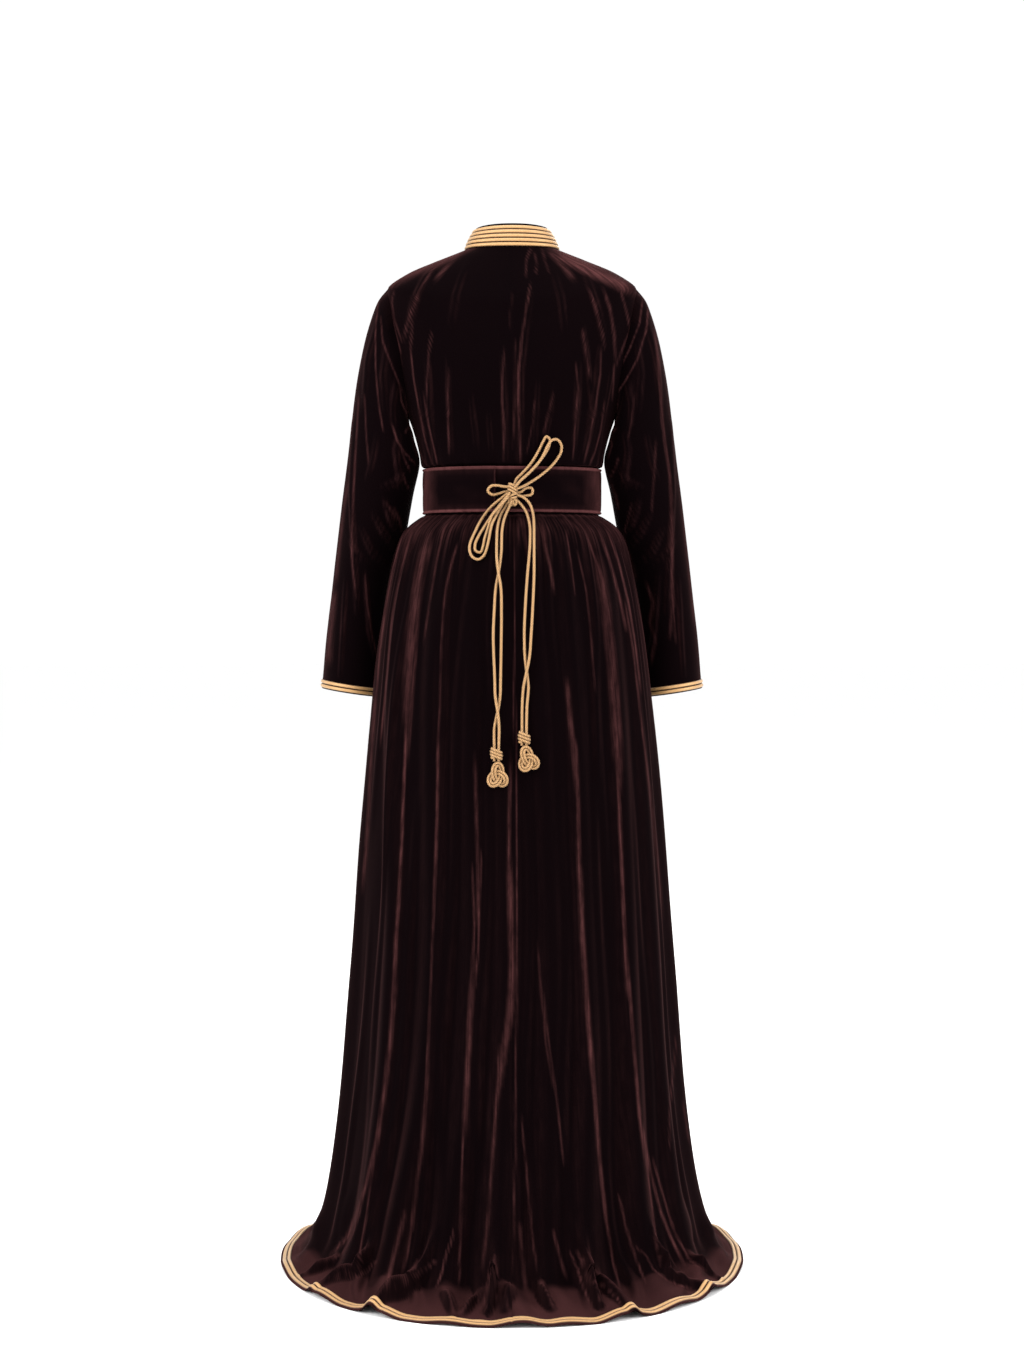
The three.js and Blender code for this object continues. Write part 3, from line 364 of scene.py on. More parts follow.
# Where light lies along the pile, as it shows from behind: half width, strength, points
SKIRT_SHINE = (
    (12.4, 0.5, ((129, -405), (143, -466), (153, -536), (159, -613), (162, -698))),
    (5.4, 0.35, ((140, -450), (145, -520), (150, -598), (156, -675), (162, -753))),
    (3.7, 0.72,
     ((162, -660), (167, -799), (173, -938), (179, -1031), (182, -1124), (190, -1202), (198, -1272))),
    (5.3, 0.62, ((179, -1016), (182, -1109), (188, -1186), (198, -1272), (207, -1334), (219, -1388))),
    (4.6, 0.72, ((198, -1264), (208, -1341), (224, -1403), (239, -1453), (255, -1493), (281, -1521))),
    (2.6, 0.6, ((207, -1326), (218, -1403), (225, -1458), (233, -1504), (239, -1549))),
    (2.8, 0.5, ((232, -1442), (247, -1489), (263, -1520), (297, -1531))),
    (2.6, 0.55, ((168, -396), (185, -458), (196, -520), (204, -582), (210, -660))),
    (2.8, 0.5, ((154, -396), (171, -458), (184, -520), (191, -598), (198, -675), (204, -729))),
    (5, 0.38, ((210, -644), (218, -753), (222, -830), (227, -907), (232, -954))),
    (2.6, 0.45, ((105, -393), (117, -450), (126, -505), (136, -567))),
    (2.6, 0.52, ((84, -419), (95, -455), (102, -489), (106, -523))),
    (2.8, 0.35, ((106, -520), (109, -582), (111, -660), (114, -729))),
    (3.6, 0.55, ((114, -714), (115, -799), (117, -892), (120, -969), (123, -1039))),
    (3.1, 0.42, ((123, -1016), (126, -1124), (131, -1217), (134, -1279))),
    (4.3, 0.5, ((129, -1217), (134, -1287), (140, -1357), (148, -1419), (154, -1481))),
    (2.8, 0.5, ((148, -1419), (156, -1473), (162, -1520), (170, -1555))),
    (4.6, 0.35, ((57, -753), (55, -845), (52, -938), (53, -1016))),
    (2.5, 0.5, ((47, -892), (50, -969), (52, -1047), (57, -1101))),
    (2.5, 0.5, ((61, -923), (58, -1016), (61, -1078))),
    (6.5, 0.62, ((58, -1055), (63, -1124), (67, -1202), (71, -1279), (74, -1341))),
    (2.3, 0.6, ((75, -1310), (77, -1403), (80, -1481), (81, -1574))),
    (4, 0.45, ((2, -753), (5, -861), (5, -954), (2, -1031))),
    (7.7, 0.52, ((4, -907), (1, -1031), (-1, -1109), (5, -1171))),
    (7, 0.58, ((-1, -1062), (5, -1155), (13, -1210), (21, -1264))),
    (3.7, 0.55, ((18, -1202), (22, -1264), (27, -1326), (32, -1380))),
    (4.3, 0.42, ((27, -1326), (32, -1396), (36, -1458), (46, -1543))),
    (2, 0.42, ((-4, -412), (-4, -567), (-2, -722))),
    (2, 0.45, ((-7, -660), (-7, -892), (-7, -1124), (-5, -1326))),
    (2, 0.5, ((-4, -1272), (-5, -1372), (-2, -1481), (-1, -1551))),
    (2.8, 0.32, ((-40, -1047), (-46, -1124), (-52, -1186), (-61, -1248))),
    (2.8, 0.42, ((-49, -1124), (-60, -1217), (-69, -1279), (-75, -1334), (-80, -1380))),
    (2.5, 0.38, ((-15, -1310), (-22, -1388), (-26, -1434), (-32, -1496), (-38, -1543))),
    (4.6, 0.3, ((-12, -1473), (-16, -1527), (-21, -1574))),
    (4, 0.48, ((-46, -384), (-52, -427), (-60, -461), (-64, -492))),
    (2.3, 0.42, ((-83, -396), (-91, -450), (-97, -497))),
    (2.3, 0.42, ((-100, -427), (-114, -489), (-122, -567), (-128, -644))),
    (6.2, 0.45, ((-84, -629), (-89, -683), (-95, -737), (-100, -799))),
    (4.6, 0.55, ((-98, -722), (-102, -815), (-103, -907), (-106, -985))),
    (6.5, 0.62, ((-105, -923), (-108, -1016), (-114, -1101), (-119, -1171), (-125, -1248))),
    (5, 0.66, ((-119, -1171), (-128, -1279), (-134, -1357), (-140, -1419), (-146, -1473))),
    (3.1, 0.6, ((-140, -1403), (-148, -1481), (-156, -1531), (-167, -1574))),
    (12.4, 0.52, ((-133, -443), (-145, -520), (-153, -590), (-159, -667), (-164, -753))),
    (4.6, 0.4, ((-146, -505), (-154, -582), (-164, -660), (-167, -737), (-168, -799))),
    (4, 0.68, ((-159, -691), (-165, -815), (-170, -923), (-174, -1031), (-179, -1124))),
    (4.3, 0.72, ((-177, -1047), (-184, -1140), (-190, -1217), (-198, -1310), (-207, -1380))),
    (3.7, 0.66, ((-201, -1318), (-215, -1396), (-230, -1453), (-247, -1496), (-267, -1537))),
    (2.5, 0.62, ((-204, -1341), (-213, -1419), (-221, -1481), (-229, -1540))),
    (2.8, 0.58, ((-218, -1372), (-238, -1442), (-253, -1489), (-277, -1531), (-300, -1546))),
    (2.8, 0.55, ((-112, -396), (-131, -450), (-146, -505), (-157, -567))),
    (4, 0.55, ((-133, -396), (-150, -443), (-165, -497), (-176, -551))),
    (2.8, 0.58, ((-146, -396), (-164, -443), (-179, -505), (-190, -567), (-199, -644))),
    (2.8, 0.45, ((-174, -505), (-187, -582), (-196, -660), (-207, -753), (-216, -830))),
    (4.6, 0.32, ((-207, -753), (-219, -845), (-227, -923), (-232, -985))),
    (2.2, 0.45, ((-256, -1179), (-249, -1241), (-244, -1295), (-244, -1357))),
    (2.8, 0.35, ((-266, -1287), (-274, -1341))),
    (5.3, 0.5, ((164, -1453), (176, -1496), (187, -1540), (193, -1571))),
    (2.5, 0.62, ((88, -1484), (100, -1515), (109, -1551), (117, -1571))),
    (2.8, 0.58, ((-165, -1427), (-177, -1481), (-190, -1524), (-207, -1566))),
    (4, 0.52, ((-64, -1486), (-74, -1524), (-84, -1558))),
    (2.5, 0.6, ((-89, -1515), (-100, -1540), (-111, -1574), (-123, -1600))),
    (3.4, 0.55, ((-98, -1513), (-109, -1531), (-119, -1566))),
    (2.3, 0.62, ((44, -1602), (38, -1566), (32, -1534), (26, -1532), (21, -1558))),
    (2.8, 0.6, ((115, -1529), (131, -1540), (153, -1554), (181, -1569))),
    (2.3, 0.6, ((207, -1529), (222, -1543), (238, -1555), (258, -1551), (281, -1560))),
    (2.3, 0.6, ((-193, -1510), (-207, -1521), (-218, -1543), (-243, -1563), (-277, -1574))),
    (2.3, 0.6, ((-115, -1557), (-133, -1563), (-153, -1579), (-170, -1597))),
)
BODICE_SHINE = (
    (2.5, 0.38, ((-30, 39), (-22, 19), (-21, -9))),
    (2.3, 0.62, ((-29, -18), (-24, -47), (-18, -83), (-13, -117))),
    (2.9, 0.72, ((-15, -109), (-10, -156), (-10, -195), (-12, -241), (-13, -295))),
    (2.2, 0.4, ((1, -33), (2, -63), (2, -89))),
    (2.2, 0.35, ((-5, -102), (-4, -148), (-4, -210), (-1, -272))),
    (2.5, 0.5, ((12, -120), (15, -164), (15, -195), (12, -241), (13, -291))),
    (2.3, 0.42, ((123, -92), (128, -125), (131, -171), (131, -195))),
    (2.3, 0.5, ((153, -71), (156, -117), (151, -164), (143, -210), (134, -257), (123, -294))),
    (2.3, 0.42, ((136, -187), (129, -233), (120, -272), (115, -295))),
    (2.3, 0.55, ((97, -151), (98, -187), (98, -233), (97, -280))),
    (2.3, 0.4, ((165, -195), (156, -233), (148, -264), (133, -294))),
    (2.6, 0.6, ((95, 25), (123, 4), (142, -27), (156, -63), (167, -102))),
    (6.2, 0.38, ((77, 35), (97, 13), (117, -12))),
    (2.5, 0.6, ((196, -26), (188, -58), (179, -94), (171, -123))),
    (4.6, 0.4, ((196, -36), (188, -71), (179, -109), (171, -140))),
    (2.3, 0.4, ((181, -27), (185, -43), (181, -71), (170, -105))),
    (10.8, 0.36, ((195, -23), (160, -4), (117, 12), (80, 30))),
    (13.9, 0.95, ((-69, 29), (-106, 10), (-146, -9), (-184, -27))),
    (7.7, 0.38, ((-57, 32), (-78, 10), (-94, -12))),
    (2.2, 0.42, ((-46, 38), (-50, 19), (-57, -2))),
    (2.2, 0.4, ((-35, 30), (-38, 10), (-36, -2))),
    (2.5, 0.62, ((-201, -36), (-187, -74), (-171, -114), (-159, -145))),
    (2.5, 0.5, ((-157, -140), (-156, -171), (-154, -195))),
    (2.3, 0.52, ((-120, -27), (-131, -63), (-139, -94), (-143, -117))),
    (3.7, 0.45, ((-140, -24), (-151, -58), (-157, -94), (-159, -136))),
    (2.5, 0.52, ((-165, -21), (-174, -52), (-181, -83))),
    (2.5, 0.55, ((-108, -89), (-114, -126), (-119, -160))),
    (2.5, 0.58, ((-137, -117), (-136, -156), (-128, -210), (-119, -257), (-111, -292))),
    (2.5, 0.52, ((-98, -140), (-102, -179), (-97, -233), (-94, -288))),
    (2, 0.34, ((-35, -198), (-32, -233), (-22, -280))),
    (2, 0.32, ((-64, -187), (-55, -222), (-47, -250))),
    (2.2, 0.42, ((-143, -195), (-137, -241), (-128, -275), (-119, -297))),
)
LEFT_SLEEVE_SHINE = (
    (2.3, 0.48, ((205, -36), (210, -86), (210, -140), (207, -187))),
    (2.5, 0.5, ((202, -67), (199, -106), (184, -145), (168, -184))),
    (2.8, 0.45, ((236, -187), (239, -241), (243, -303))),
    (2.8, 0.52, ((241, -272), (244, -334), (247, -396), (247, -443), (241, -497))),
    (2.5, 0.42, ((227, -187), (225, -241), (221, -295))),
    (2.5, 0.42, ((208, -171), (204, -210), (198, -244))),
    (2.5, 0.66, ((173, -173), (170, -198), (162, -216), (151, -233))),
    (2.5, 0.6, ((151, -232), (160, -238), (165, -246))),
    (3.7, 0.48, ((154, -244), (150, -264), (145, -284))),
    (2.8, 0.6, ((185, -232), (177, -257), (167, -274), (148, -294))),
    (2.5, 0.55, ((170, -272), (165, -288), (157, -303))),
    (2.5, 0.55, ((168, -309), (164, -322), (159, -331))),
    (4, 0.5, ((182, -362), (173, -381), (168, -401), (174, -430))),
    (2.5, 0.45, ((196, -353), (185, -365), (179, -381))),
    (2.5, 0.52, ((227, -461), (224, -505), (216, -559), (205, -601))),
    (9.3, 0.34, ((275, -489), (281, -543), (284, -598))),
    (4.6, 0.3, ((253, -319), (264, -396), (272, -474))),
    (3.7, 0.34, ((225, -55), (235, -117), (243, -179), (249, -241))),
)
RIGHT_SLEEVE_SHINE = (
    (2.5, 0.52, ((-210, -47), (-207, -86), (-193, -133), (-174, -167), (-157, -191))),
    (2.5, 0.48, ((-201, -40), (-196, -78), (-181, -117), (-164, -151))),
    (4, 0.46, ((-219, -86), (-225, -133), (-229, -187), (-232, -241))),
    (3.4, 0.56, ((-230, -195), (-235, -257), (-243, -311), (-246, -365))),
    (4.3, 0.56, ((-244, -319), (-247, -381), (-247, -443), (-249, -505), (-244, -559))),
    (2.8, 0.36, ((-222, -257), (-219, -311), (-215, -368))),
    (2.5, 0.36, ((-246, -489), (-250, -528), (-253, -567))),
    (2.5, 0.62, ((-154, -182), (-160, -199), (-156, -218), (-148, -238))),
    (2.5, 0.6, ((-162, -238), (-150, -247), (-154, -264), (-148, -284))),
    (2.5, 0.5, ((-153, -195), (-150, -213), (-157, -229))),
    (2.8, 0.45, ((-164, -284), (-159, -300), (-150, -315))),
    (4, 0.42, ((-151, -322), (-160, -340), (-164, -362))),
    (2.5, 0.52, ((-185, -354), (-179, -377), (-173, -399))),
    (7.1, 0.46, ((-167, -396), (-177, -424), (-185, -449), (-191, -470))),
    (4.3, 0.42, ((-207, -474), (-218, -505), (-213, -536), (-222, -563), (-215, -601))),
    (2.5, 0.34, ((-188, -187), (-184, -226), (-179, -257))),
    (7.7, 0.26, ((-264, -350), (-275, -443), (-283, -536))),
)

BELT = {"top": -301, "bottom": -370, "inner": 134, "back": 95, "front": 93, "thick": 4}
BELT_LAP = {"start": 9.5, "end": 403, "lift": 4.6, "lift_until": 48, "down_by": 78}
BELT_HALF = (BELT["top"] - BELT["bottom"]) / 2
BELT_MIDDLE = (BELT["top"] + BELT["bottom"]) / 2
# Half of the belt's section, from its middle to its edge: height share and outward distance
BELT_FACE = (
    (0, 3.9), (0.3, 3.95), (0.6, 3.8), (0.84, 3.4), (0.89, 2.7), (0.92, 3.5), (0.955, 4.3),
    (0.985, 3.9), (1.0, 2.6),
)
BELT_BACK = ((0.98, 1.0), (0.93, 0.2), (0.5, 0), (0, 0), (-0.5, 0), (-0.93, 0.2), (-0.98, 1.0))
BELT_EDGE_FROM = 0.88
BELT_WAVES = 0.5
BELT_EDGE_WAVES = 0.35

# Section of a braid: share of its width, and share of its thickness
BRAID_ACROSS = (0.03, 0.05, 0.12, 0.2, 0.35, 0.5, 0.65, 0.8, 0.88, 0.95, 0.97)
BRAID_ABOVE = (0.1, 0.4, 0.6, 0.95, 1.12, 1.15, 1.12, 0.95, 0.6, 0.4, 0.1)

# Points across and down each cloth piece, and along the belt and the braids
SKIRT_BACK_GRID = (190, 150)
SKIRT_FRONT_GRID = (90, 110)
BODICE_GRID = (120, 80)
SLEEVE_GRID = (170, 120)
COLLAR_GRID = (220, 16)
BELT_POINTS = 640
HEM_BRAID_POINTS = 1600
COLLAR_BRAID_POINTS = 460

# The lace: each route is x, z and how far it is lifted off what it lies on
CORD = 4.4
CORD_GAP = 0.4
OVER = CORD + 0.6
# How far apart a route is read for its height, on the bows, on the tails and once laid
BOW_STEP = 10
TAIL_STEP = 13.2
LAID_STEP = 1.05
# Section of the lace: strands, points round it, its core and how much the strands rise
STRANDS = 3
ROPE_POINTS = 15
ROPE_CORE = 0.8
STRAND_RISE = 0.24
KNOT = {"x": -1, "z": -340, "half_width": 8.2, "half_depth": 6.6, "half_height": 14.5}
BOWS = {
    "bow_up_1": (
        (-3.5, -330, 3), (-6.5, -321.5, 4), (-15.9, -311.7, 3), (-28, -298, 2), (-37.1, -283.7, 1),
        (-43.9, -270.8, 0), (-49.2, -260.2, 0), (-53.7, -255.7, 0), (-57, -261.7, 0),
        (-54.5, -273.8, 0), (-46.5, -287, 0), (-34.5, -302.5, 1), (-21, -316, 1), (-12, -323.5, 1),
        (-6, -332, 1),
    ),
    "bow_up_2": (
        (-4, -334, 9), (-13.5, -323, 11), (-28, -309.5, 8.5), (-43, -292, 6.5), (-50, -278.9, 6),
        (-56, -267, 6), (-64.3, -260.2, 2.5), (-71.9, -265.5, 0), (-74.9, -273.8, 0),
        (-71.9, -283.7, 0), (-62, -298, 0), (-46, -313, 1), (-29, -325, 4), (-14.5, -333, 7),
        (-6, -336, 7),
    ),
    "bow_down_1": (
        (3, -340, 5), (11.5, -346.5, 7), (21.9, -354.8, 6), (31.7, -363.1, 3), (46.1, -382.8, 0),
        (56.6, -404, 0), (62.5, -419.1, 0), (62.5, -431, 0), (56, -441, 0), (46, -441, 0),
        (39, -430, 0), (34, -410, 0), (30, -390, 2), (24, -377, 8.5), (17, -364, 5.5),
        (10, -353, 5), (4, -346, 5),
    ),
    "bow_down_2": (
        (0, -337, 7), (9.5, -350, 13), (18, -360, 12), (29, -374.5, 7), (40, -391, 1),
        (49, -406, 0), (54.5, -418, 0), (55, -427, 0), (50, -433.5, 0), (45, -429, 0),
        (41, -412, 0), (34.5, -391, 0), (30, -376, 14.5), (20, -364, 19), (10, -353, 15),
        (2, -344, 5),
    ),
    "lace_eye_left": (
        (3, -333, 5), (11, -332.5, 5), (20, -331, 5), (29, -331, 4.8), (34.5, -333.5, 4.8),
        (36.3, -338, 4.8), (34.5, -342.5, 4.8), (29, -344.5, 3), (20, -343, 0), (11, -340, 0),
        (3, -339, 0),
    ),
    "lace_eye_right": (
        (-4, -342, 1), (-12.5, -340.5, 1), (-18, -336.5, 1), (-24, -333, 0), (-29, -334, 0),
        (-32, -339, 0), (-29, -344, 0), (-24, -345.5, 0), (-16.5, -346, 0), (-11, -346, 0.5),
        (-3, -342, 3),
    ),
}
TAILS = {
    "tail_left_a": (
        (3, -350, 0), (8, -360, 0), (14, -369, 0), (18.4, -380, 0), (21.6, -395, 0),
        (22.6, -413, 0), (22.6, -440, 2), (20, -462.6, OVER), (16.4, -485, 2), (15.6, -525, 0),
        (16, -565.4, 0), (16.8, -618.6, 0), (17.6, -645, 0), (21.1, -667, 0), (25.8, -690, 0),
        (26, -719.3, 3),
    ),
    "tail_left_b": (
        (0, -350, 4), (3, -360, 3), (9, -374, 1), (14.4, -395, 0), (16, -432.6, 0),
        (20, -462.6, 0), (24, -485, 0), (26.6, -525, 0), (27.7, -555, 0), (25.5, -618.6, 0),
        (24.6, -645, 2), (21.1, -667, OVER), (19, -690, 2), (19.6, -719.3, 3),
    ),
    "tail_right_a": (
        (-4, -344, 5), (-12, -346, 7), (-22.8, -353, 6), (-29.5, -365.5, 1), (-32.4, -381.3, 0),
        (-32.8, -405.5, 0), (-32.8, -435, 0), (-32.6, -465.6, 0), (-30.7, -511.9, 0),
        (-28, -558, 0), (-26, -585, 2), (-21.6, -608, OVER), (-17, -630, 2), (-15, -660, 0),
        (-14.8, -695.6, 3),
    ),
    "tail_right_b": (
        (-4, -349, 3), (-9, -355, 3), (-16.5, -362, 1), (-22.5, -374, 0), (-26.6, -391.9, 0),
        (-27, -413, 0), (-25.6, -435, 0), (-22.8, -465.6, 0), (-19.7, -511.9, 0),
        (-18.2, -550.6, 0), (-19, -585, 0), (-21.6, -608, 0), (-24.2, -630, 0), (-22, -660, 0),
        (-21.2, -695.6, 3),
    ),
}
# Ends of the tails: the wrapping's x, top and height, the knot's x, top and lean
TAIL_ENDS = {
    "left": {"x": 23, "top": -719.7, "height": 19, "knot_x": 21, "knot_top": -739.4, "lean": 0},
    "right": {"x": -18, "top": -696, "height": 20, "knot_x": -23, "knot_top": -715.6, "lean": 14},
}
WRAP = {"half_width": 9.8, "half_depth": 6.8, "turns": 3, "taper": 0.32, "slant": 0.3}
LOBED = {"half_width": 16.5, "height": 39, "thick": 9, "gap": 1.0}
# Turns of the knot in the middle: height from its middle, and how much each leans
KNOT_TURNS = ((10.2, 0.35), (5.2, 0.62), (0.2, 0.62), (-4.8, -0.45), (-9.6, -0.3))
KNOT_BIGHTS = ((3.2, -16.5), (-3.0, -15.6))
KNOT_BIGHT_HALF = (2.3, 4.2)
TURN_POINTS = 56

# Edges sharper than this many degrees stay sharp
SHARP_ANGLE = 62
# Steps of a curve between two of its points, and a way that no cord starts in
CURVE_STEPS = 40
ASIDE = (0.31, 0.9, 0.2)

# The camera: lens, sensor, how far back, how high, and how far it looks down
CAMERA = {"lens": 63.81, "sensor": 36, "y": 3.7567, "z": -0.5162, "down": 1.796}
# Lights: name, place, size and power
LIGHTS = (
    ("Left", (3.3, 1.6, 0.6), 2.2, 120),
    ("Right", (-3.3, 1.3, 0.5), 2.2, 110),
    ("Back", (0.8, 4.2, 1.9), 2.0, 55),
    ("Front", (-0.9, -4.0, 1.6), 2.4, 80),
    ("Top", (0, 0.4, 2.6), 2.4, 70),
)
LIT_PLACE = (0, 0.05, -0.7)
STUDIO_LIGHT = 1.04
BACKDROP_LIGHT = 1.02
FLOOR_REACH = 40

# Each velvet: how light it is, and how much streaks, crushed places and its rims show. The streaks and
# crushed places break up its painted highlights, the rims get a painted sheen, and the rolled edge's
# lighter copy paints a highlight on the belt's edges
VELVETS = {
    "Aubergine Velvet": (1.0, 1.0, 0.6, 0.4),
    "Belt Velvet": (1.1, 0.12, 0.4, 0.4),
    "Rolled Velvet Edge": (1.5, 0.1, 0.3, 0.5),
}
# Each gold: size of its bundles and their slant, its thread, relief, grooves and dark sides, where the
# grooves between bundles and the sides that turn from the view get painted shade
GOLDS = {
    "Plaited Gold Braid": (0.0022, 1.1, 0.0006, 0.0002, 0.4, 0.3),
    "Twisted Gold Cord": (0.0038, 1.4, 0.0006, 0.0004, 0.5, 1.1),
}


class KaftanSizes(bpy.types.PropertyGroup):
    """Sizes that a maker would change."""

    cloth: bpy.props.FloatProperty(
        name="Velvet thickness", description="Thickness of the velvet with its lining",
        default=0.0018, unit="LENGTH",
    )
    braid: bpy.props.FloatProperty(
        name="Braid thickness", description="Thickness of each gold braid",
        default=0.0019, unit="LENGTH",
    )
    cord: bpy.props.FloatProperty(
        name="Lace thickness", description="Diameter of the twisted gold lace",
        default=0.0044, unit="LENGTH",
    )
    twist: bpy.props.FloatProperty(
        name="Lace twist", description="Length of one whole turn of the lace's strands",
        default=0.0125, unit="LENGTH",
    )
    gathers: bpy.props.FloatProperty(
        name="Gathers", description="How deep the gathers under the belt are",
        default=1.0, subtype="FACTOR",
    )
    creases: bpy.props.FloatProperty(
        name="Creases", description="How deep the creases of the cloth are",
        default=1.0, subtype="FACTOR",
    )


class KaftanColours(bpy.types.PropertyGroup):
    """Colours that a maker would change."""

    velvet: bpy.props.FloatVectorProperty(
        name="Velvet", description="Colour of the pile seen from above",
        default=(0.0016, 0.0005, 0.0008), size=3, subtype="COLOR",
    )
    # The painted highlight colour: the velvet turns to it along its drawn light lines, on the flanks of
    # folds, where it lies flat and at its rims
    painted_nap_highlight: bpy.props.FloatVectorProperty(
        name="Brushed velvet", description="Colour of the pile where it is brushed up",
        default=(0.062, 0.0215, 0.0215), size=3, subtype="COLOR",
    )
    glow: bpy.props.FloatVectorProperty(
        name="Velvet sheen", description="Tint of the light on the tips of the pile",
        default=(0.80, 0.42, 0.40), size=3, subtype="COLOR",
    )
    gold: bpy.props.FloatVectorProperty(
        name="Gold thread", description="Colour of the gold thread",
        default=(0.50, 0.28, 0.108), size=3, subtype="COLOR",
    )
    shade: bpy.props.FloatVectorProperty(
        name="Gold thread, shaded", description="Colour between the gold threads",
        default=(0.10, 0.04, 0.012), size=3, subtype="COLOR",
    )
    floor: bpy.props.FloatVectorProperty(
        name="Floor", description="Colour of the studio floor",
        default=(0.96, 0.96, 0.96), size=3, subtype="COLOR",
    )


def between(values, place):
    """A list of values, or of points, read between its places on a curve that never overshoots."""
    values = np.asarray(values, float)
    place = np.asarray(place, float)
    first = 2 * values[:1] - values[1:2]
    last = 2 * values[-1:] - values[-2:-1]
    steps = np.diff(np.concatenate((first, values, last)), axis=0)
    before, after = steps[:-1], steps[1:]
    together = before + after
    slopes = np.where(before * after > 0, 2 * before * after / np.where(together, together, 1), 0)
    low = np.clip(np.floor(place), 0, len(values) - 2).astype(int)
    f = place - low
    f = f.reshape(f.shape + (1,) * (values.ndim - 1))
    rise = values[low + 1] - values[low]
    a, b = slopes[low], slopes[low + 1]
    return values[low] + a * f + (3 * rise - 2 * a - b) * f**2 + (a + b - 2 * rise) * f**3


def bump(distance, half_width):
    """A smooth bump of height 1, which is 0 from half_width away."""
    share = np.minimum(1, np.abs(distance) / half_width)
    return np.cos(share * np.pi / 2) ** 2


def turn_between(a, b):
    return (a - b + 180) % 360 - 180


def rounded(value, roundness):
    return np.sign(value) * np.abs(value) ** (2 / roundness)


def ring_sizes(table, place):
    values = between(list(table.values()), place)
    return {name: values[..., k] for k, name in enumerate(COLUMNS)}


def ring_points(sizes, angle, roundness):
    """The points of rings at angles from the centre back."""
    across = np.sin(np.radians(angle))
    along = np.cos(np.radians(angle))
    behind = along >= 0
    depth = np.where(behind, sizes["back"], sizes["front"])
    height = np.where(behind, sizes["z_back"], sizes["z_front"])
    x = sizes["side"] * rounded(across, roundness)
    y = sizes["middle"] + depth * rounded(along, roundness)
    z = sizes["z_side"] + (height - sizes["z_side"]) * along**2
    return np.stack(np.broadcast_arrays(x, y, z), -1)


def unit(vectors):
    return vectors / np.maximum(np.linalg.norm(vectors, axis=-1, keepdims=True), 1e-9)


def surface_normals(surface, angle, place):
    """Outward normals of a surface, from points a little to each side."""
    across = surface(angle + 0.05, place) - surface(angle - 0.05, place)
    down = surface(angle, place + 1e-3) - surface(angle, place - 1e-3)
    return unit(np.cross(across, down))


def grid_normals(grid, closed):
    """Normals of a grid of points, from its own neighbours."""
    if closed:
        across = np.roll(grid, -1, axis=1) - np.roll(grid, 1, axis=1)
    else:
        across = np.gradient(grid, axis=1)
    return unit(np.cross(across, np.gradient(grid, axis=0)))


def run_along(points):
    """How far along a line each of its points is."""
    return np.concatenate(((0,), np.cumsum(np.linalg.norm(np.diff(points, axis=0), axis=1))))


def line_distance(x, z, points):
    """How far each place is from a line of points, and how far along the line it is."""
    points = np.asarray(points, float)
    lengths = np.linalg.norm(np.diff(points, axis=0), axis=1)
    nearest = np.full(np.shape(x), 1e9)
    along = np.zeros(np.shape(x))
    done = 0
    for start, end, length in zip(points[:-1], points[1:], lengths):
        way = (end - start) / length
        travel = np.clip((x - start[0]) * way[0] + (z - start[1]) * way[1], 0, length)
        off = np.hypot(x - start[0] - travel * way[0], z - start[1] - travel * way[1])
        closer = off < nearest
        nearest = np.where(closer, off, nearest)
        along = np.where(closer, (done + travel) / lengths.sum(), along)
        done += length
    return nearest, along


def crease_height(points, creases, depth):
    """Soft ridges along lines of x and z, which fade at both ends."""
    height = np.zeros(points.shape[:-1])
    for half_width, rise, line in creases:
        off, along = line_distance(points[..., 0], points[..., 2], line)
        faded = np.sin(np.pi * (CREASE_END + (1 - 2 * CREASE_END) * along))
        height += rise * depth * bump(off, half_width) * faded
    return height


def seen(points, way):
    """Where places show from behind, or from the front if way is -1, on an upright plane."""
    near = VIEW_DISTANCE / (VIEW_DISTANCE - way * points[..., 1])
    return way * points[..., 0] * near, VIEW_HEIGHT + (points[..., 2] - VIEW_HEIGHT) * near


def shine(points, normals, lines):
    """How much light lies along the pile near lines drawn on the view from behind. The front
    has the same lines, which fade out low down."""
    total = np.zeros(points.shape[:-1])
    for way in (1, -1):
        x, z = seen(points, way)
        lit = np.zeros(x.shape)
        for half_width, strength, line in lines:
            off, along = line_distance(x, z, line)
            fade = np.clip(np.minimum(along, 1 - along) / LINE_FADE, 0, 1)
            bright = strength * (LINE_TIP_LIGHT + (1 - LINE_TIP_LIGHT) * fade)
            lit = np.maximum(lit, bright * bump(off, half_width))
        if way < 0:
            lit *= np.clip((z - FRONT_LIGHT_END) / FRONT_LIGHT_FADE, 0, 1)
        total += lit * np.clip(way * normals[..., 1] / FULLY_FACING, 0, 1)
    return total


def uneven(a, b, seed):
    """Slow hand-made unevenness between -1 and 1."""
    waves = np.sin(a * 0.9 + seed) + np.sin(a * 1.7 - b * 0.8 + 2 * seed)
    return (waves + np.sin(b * 1.9 + a * 0.5 + 3 * seed) + np.sin(b * 3.3 - a * 1.3)) / 4


def skirt_base(angle, place):
    return ring_points(ring_sizes(SKIRT, place), angle, SKIRT_ROUNDNESS)


def fold_height(angle, place):
    rings = list(SKIRT)
    stations = [rings.index(name) for name in FOLD_STATIONS]
    station = np.interp(place, stations, range(len(stations)))
    height = np.zeros(np.shape(angle))
    for at, stands, half_width in FOLDS:
        middle = between((at[0],) + at, station)
        rise = between((0,) + stands, station)
        height += rise * bump(turn_between(angle, middle), half_width)
    return height


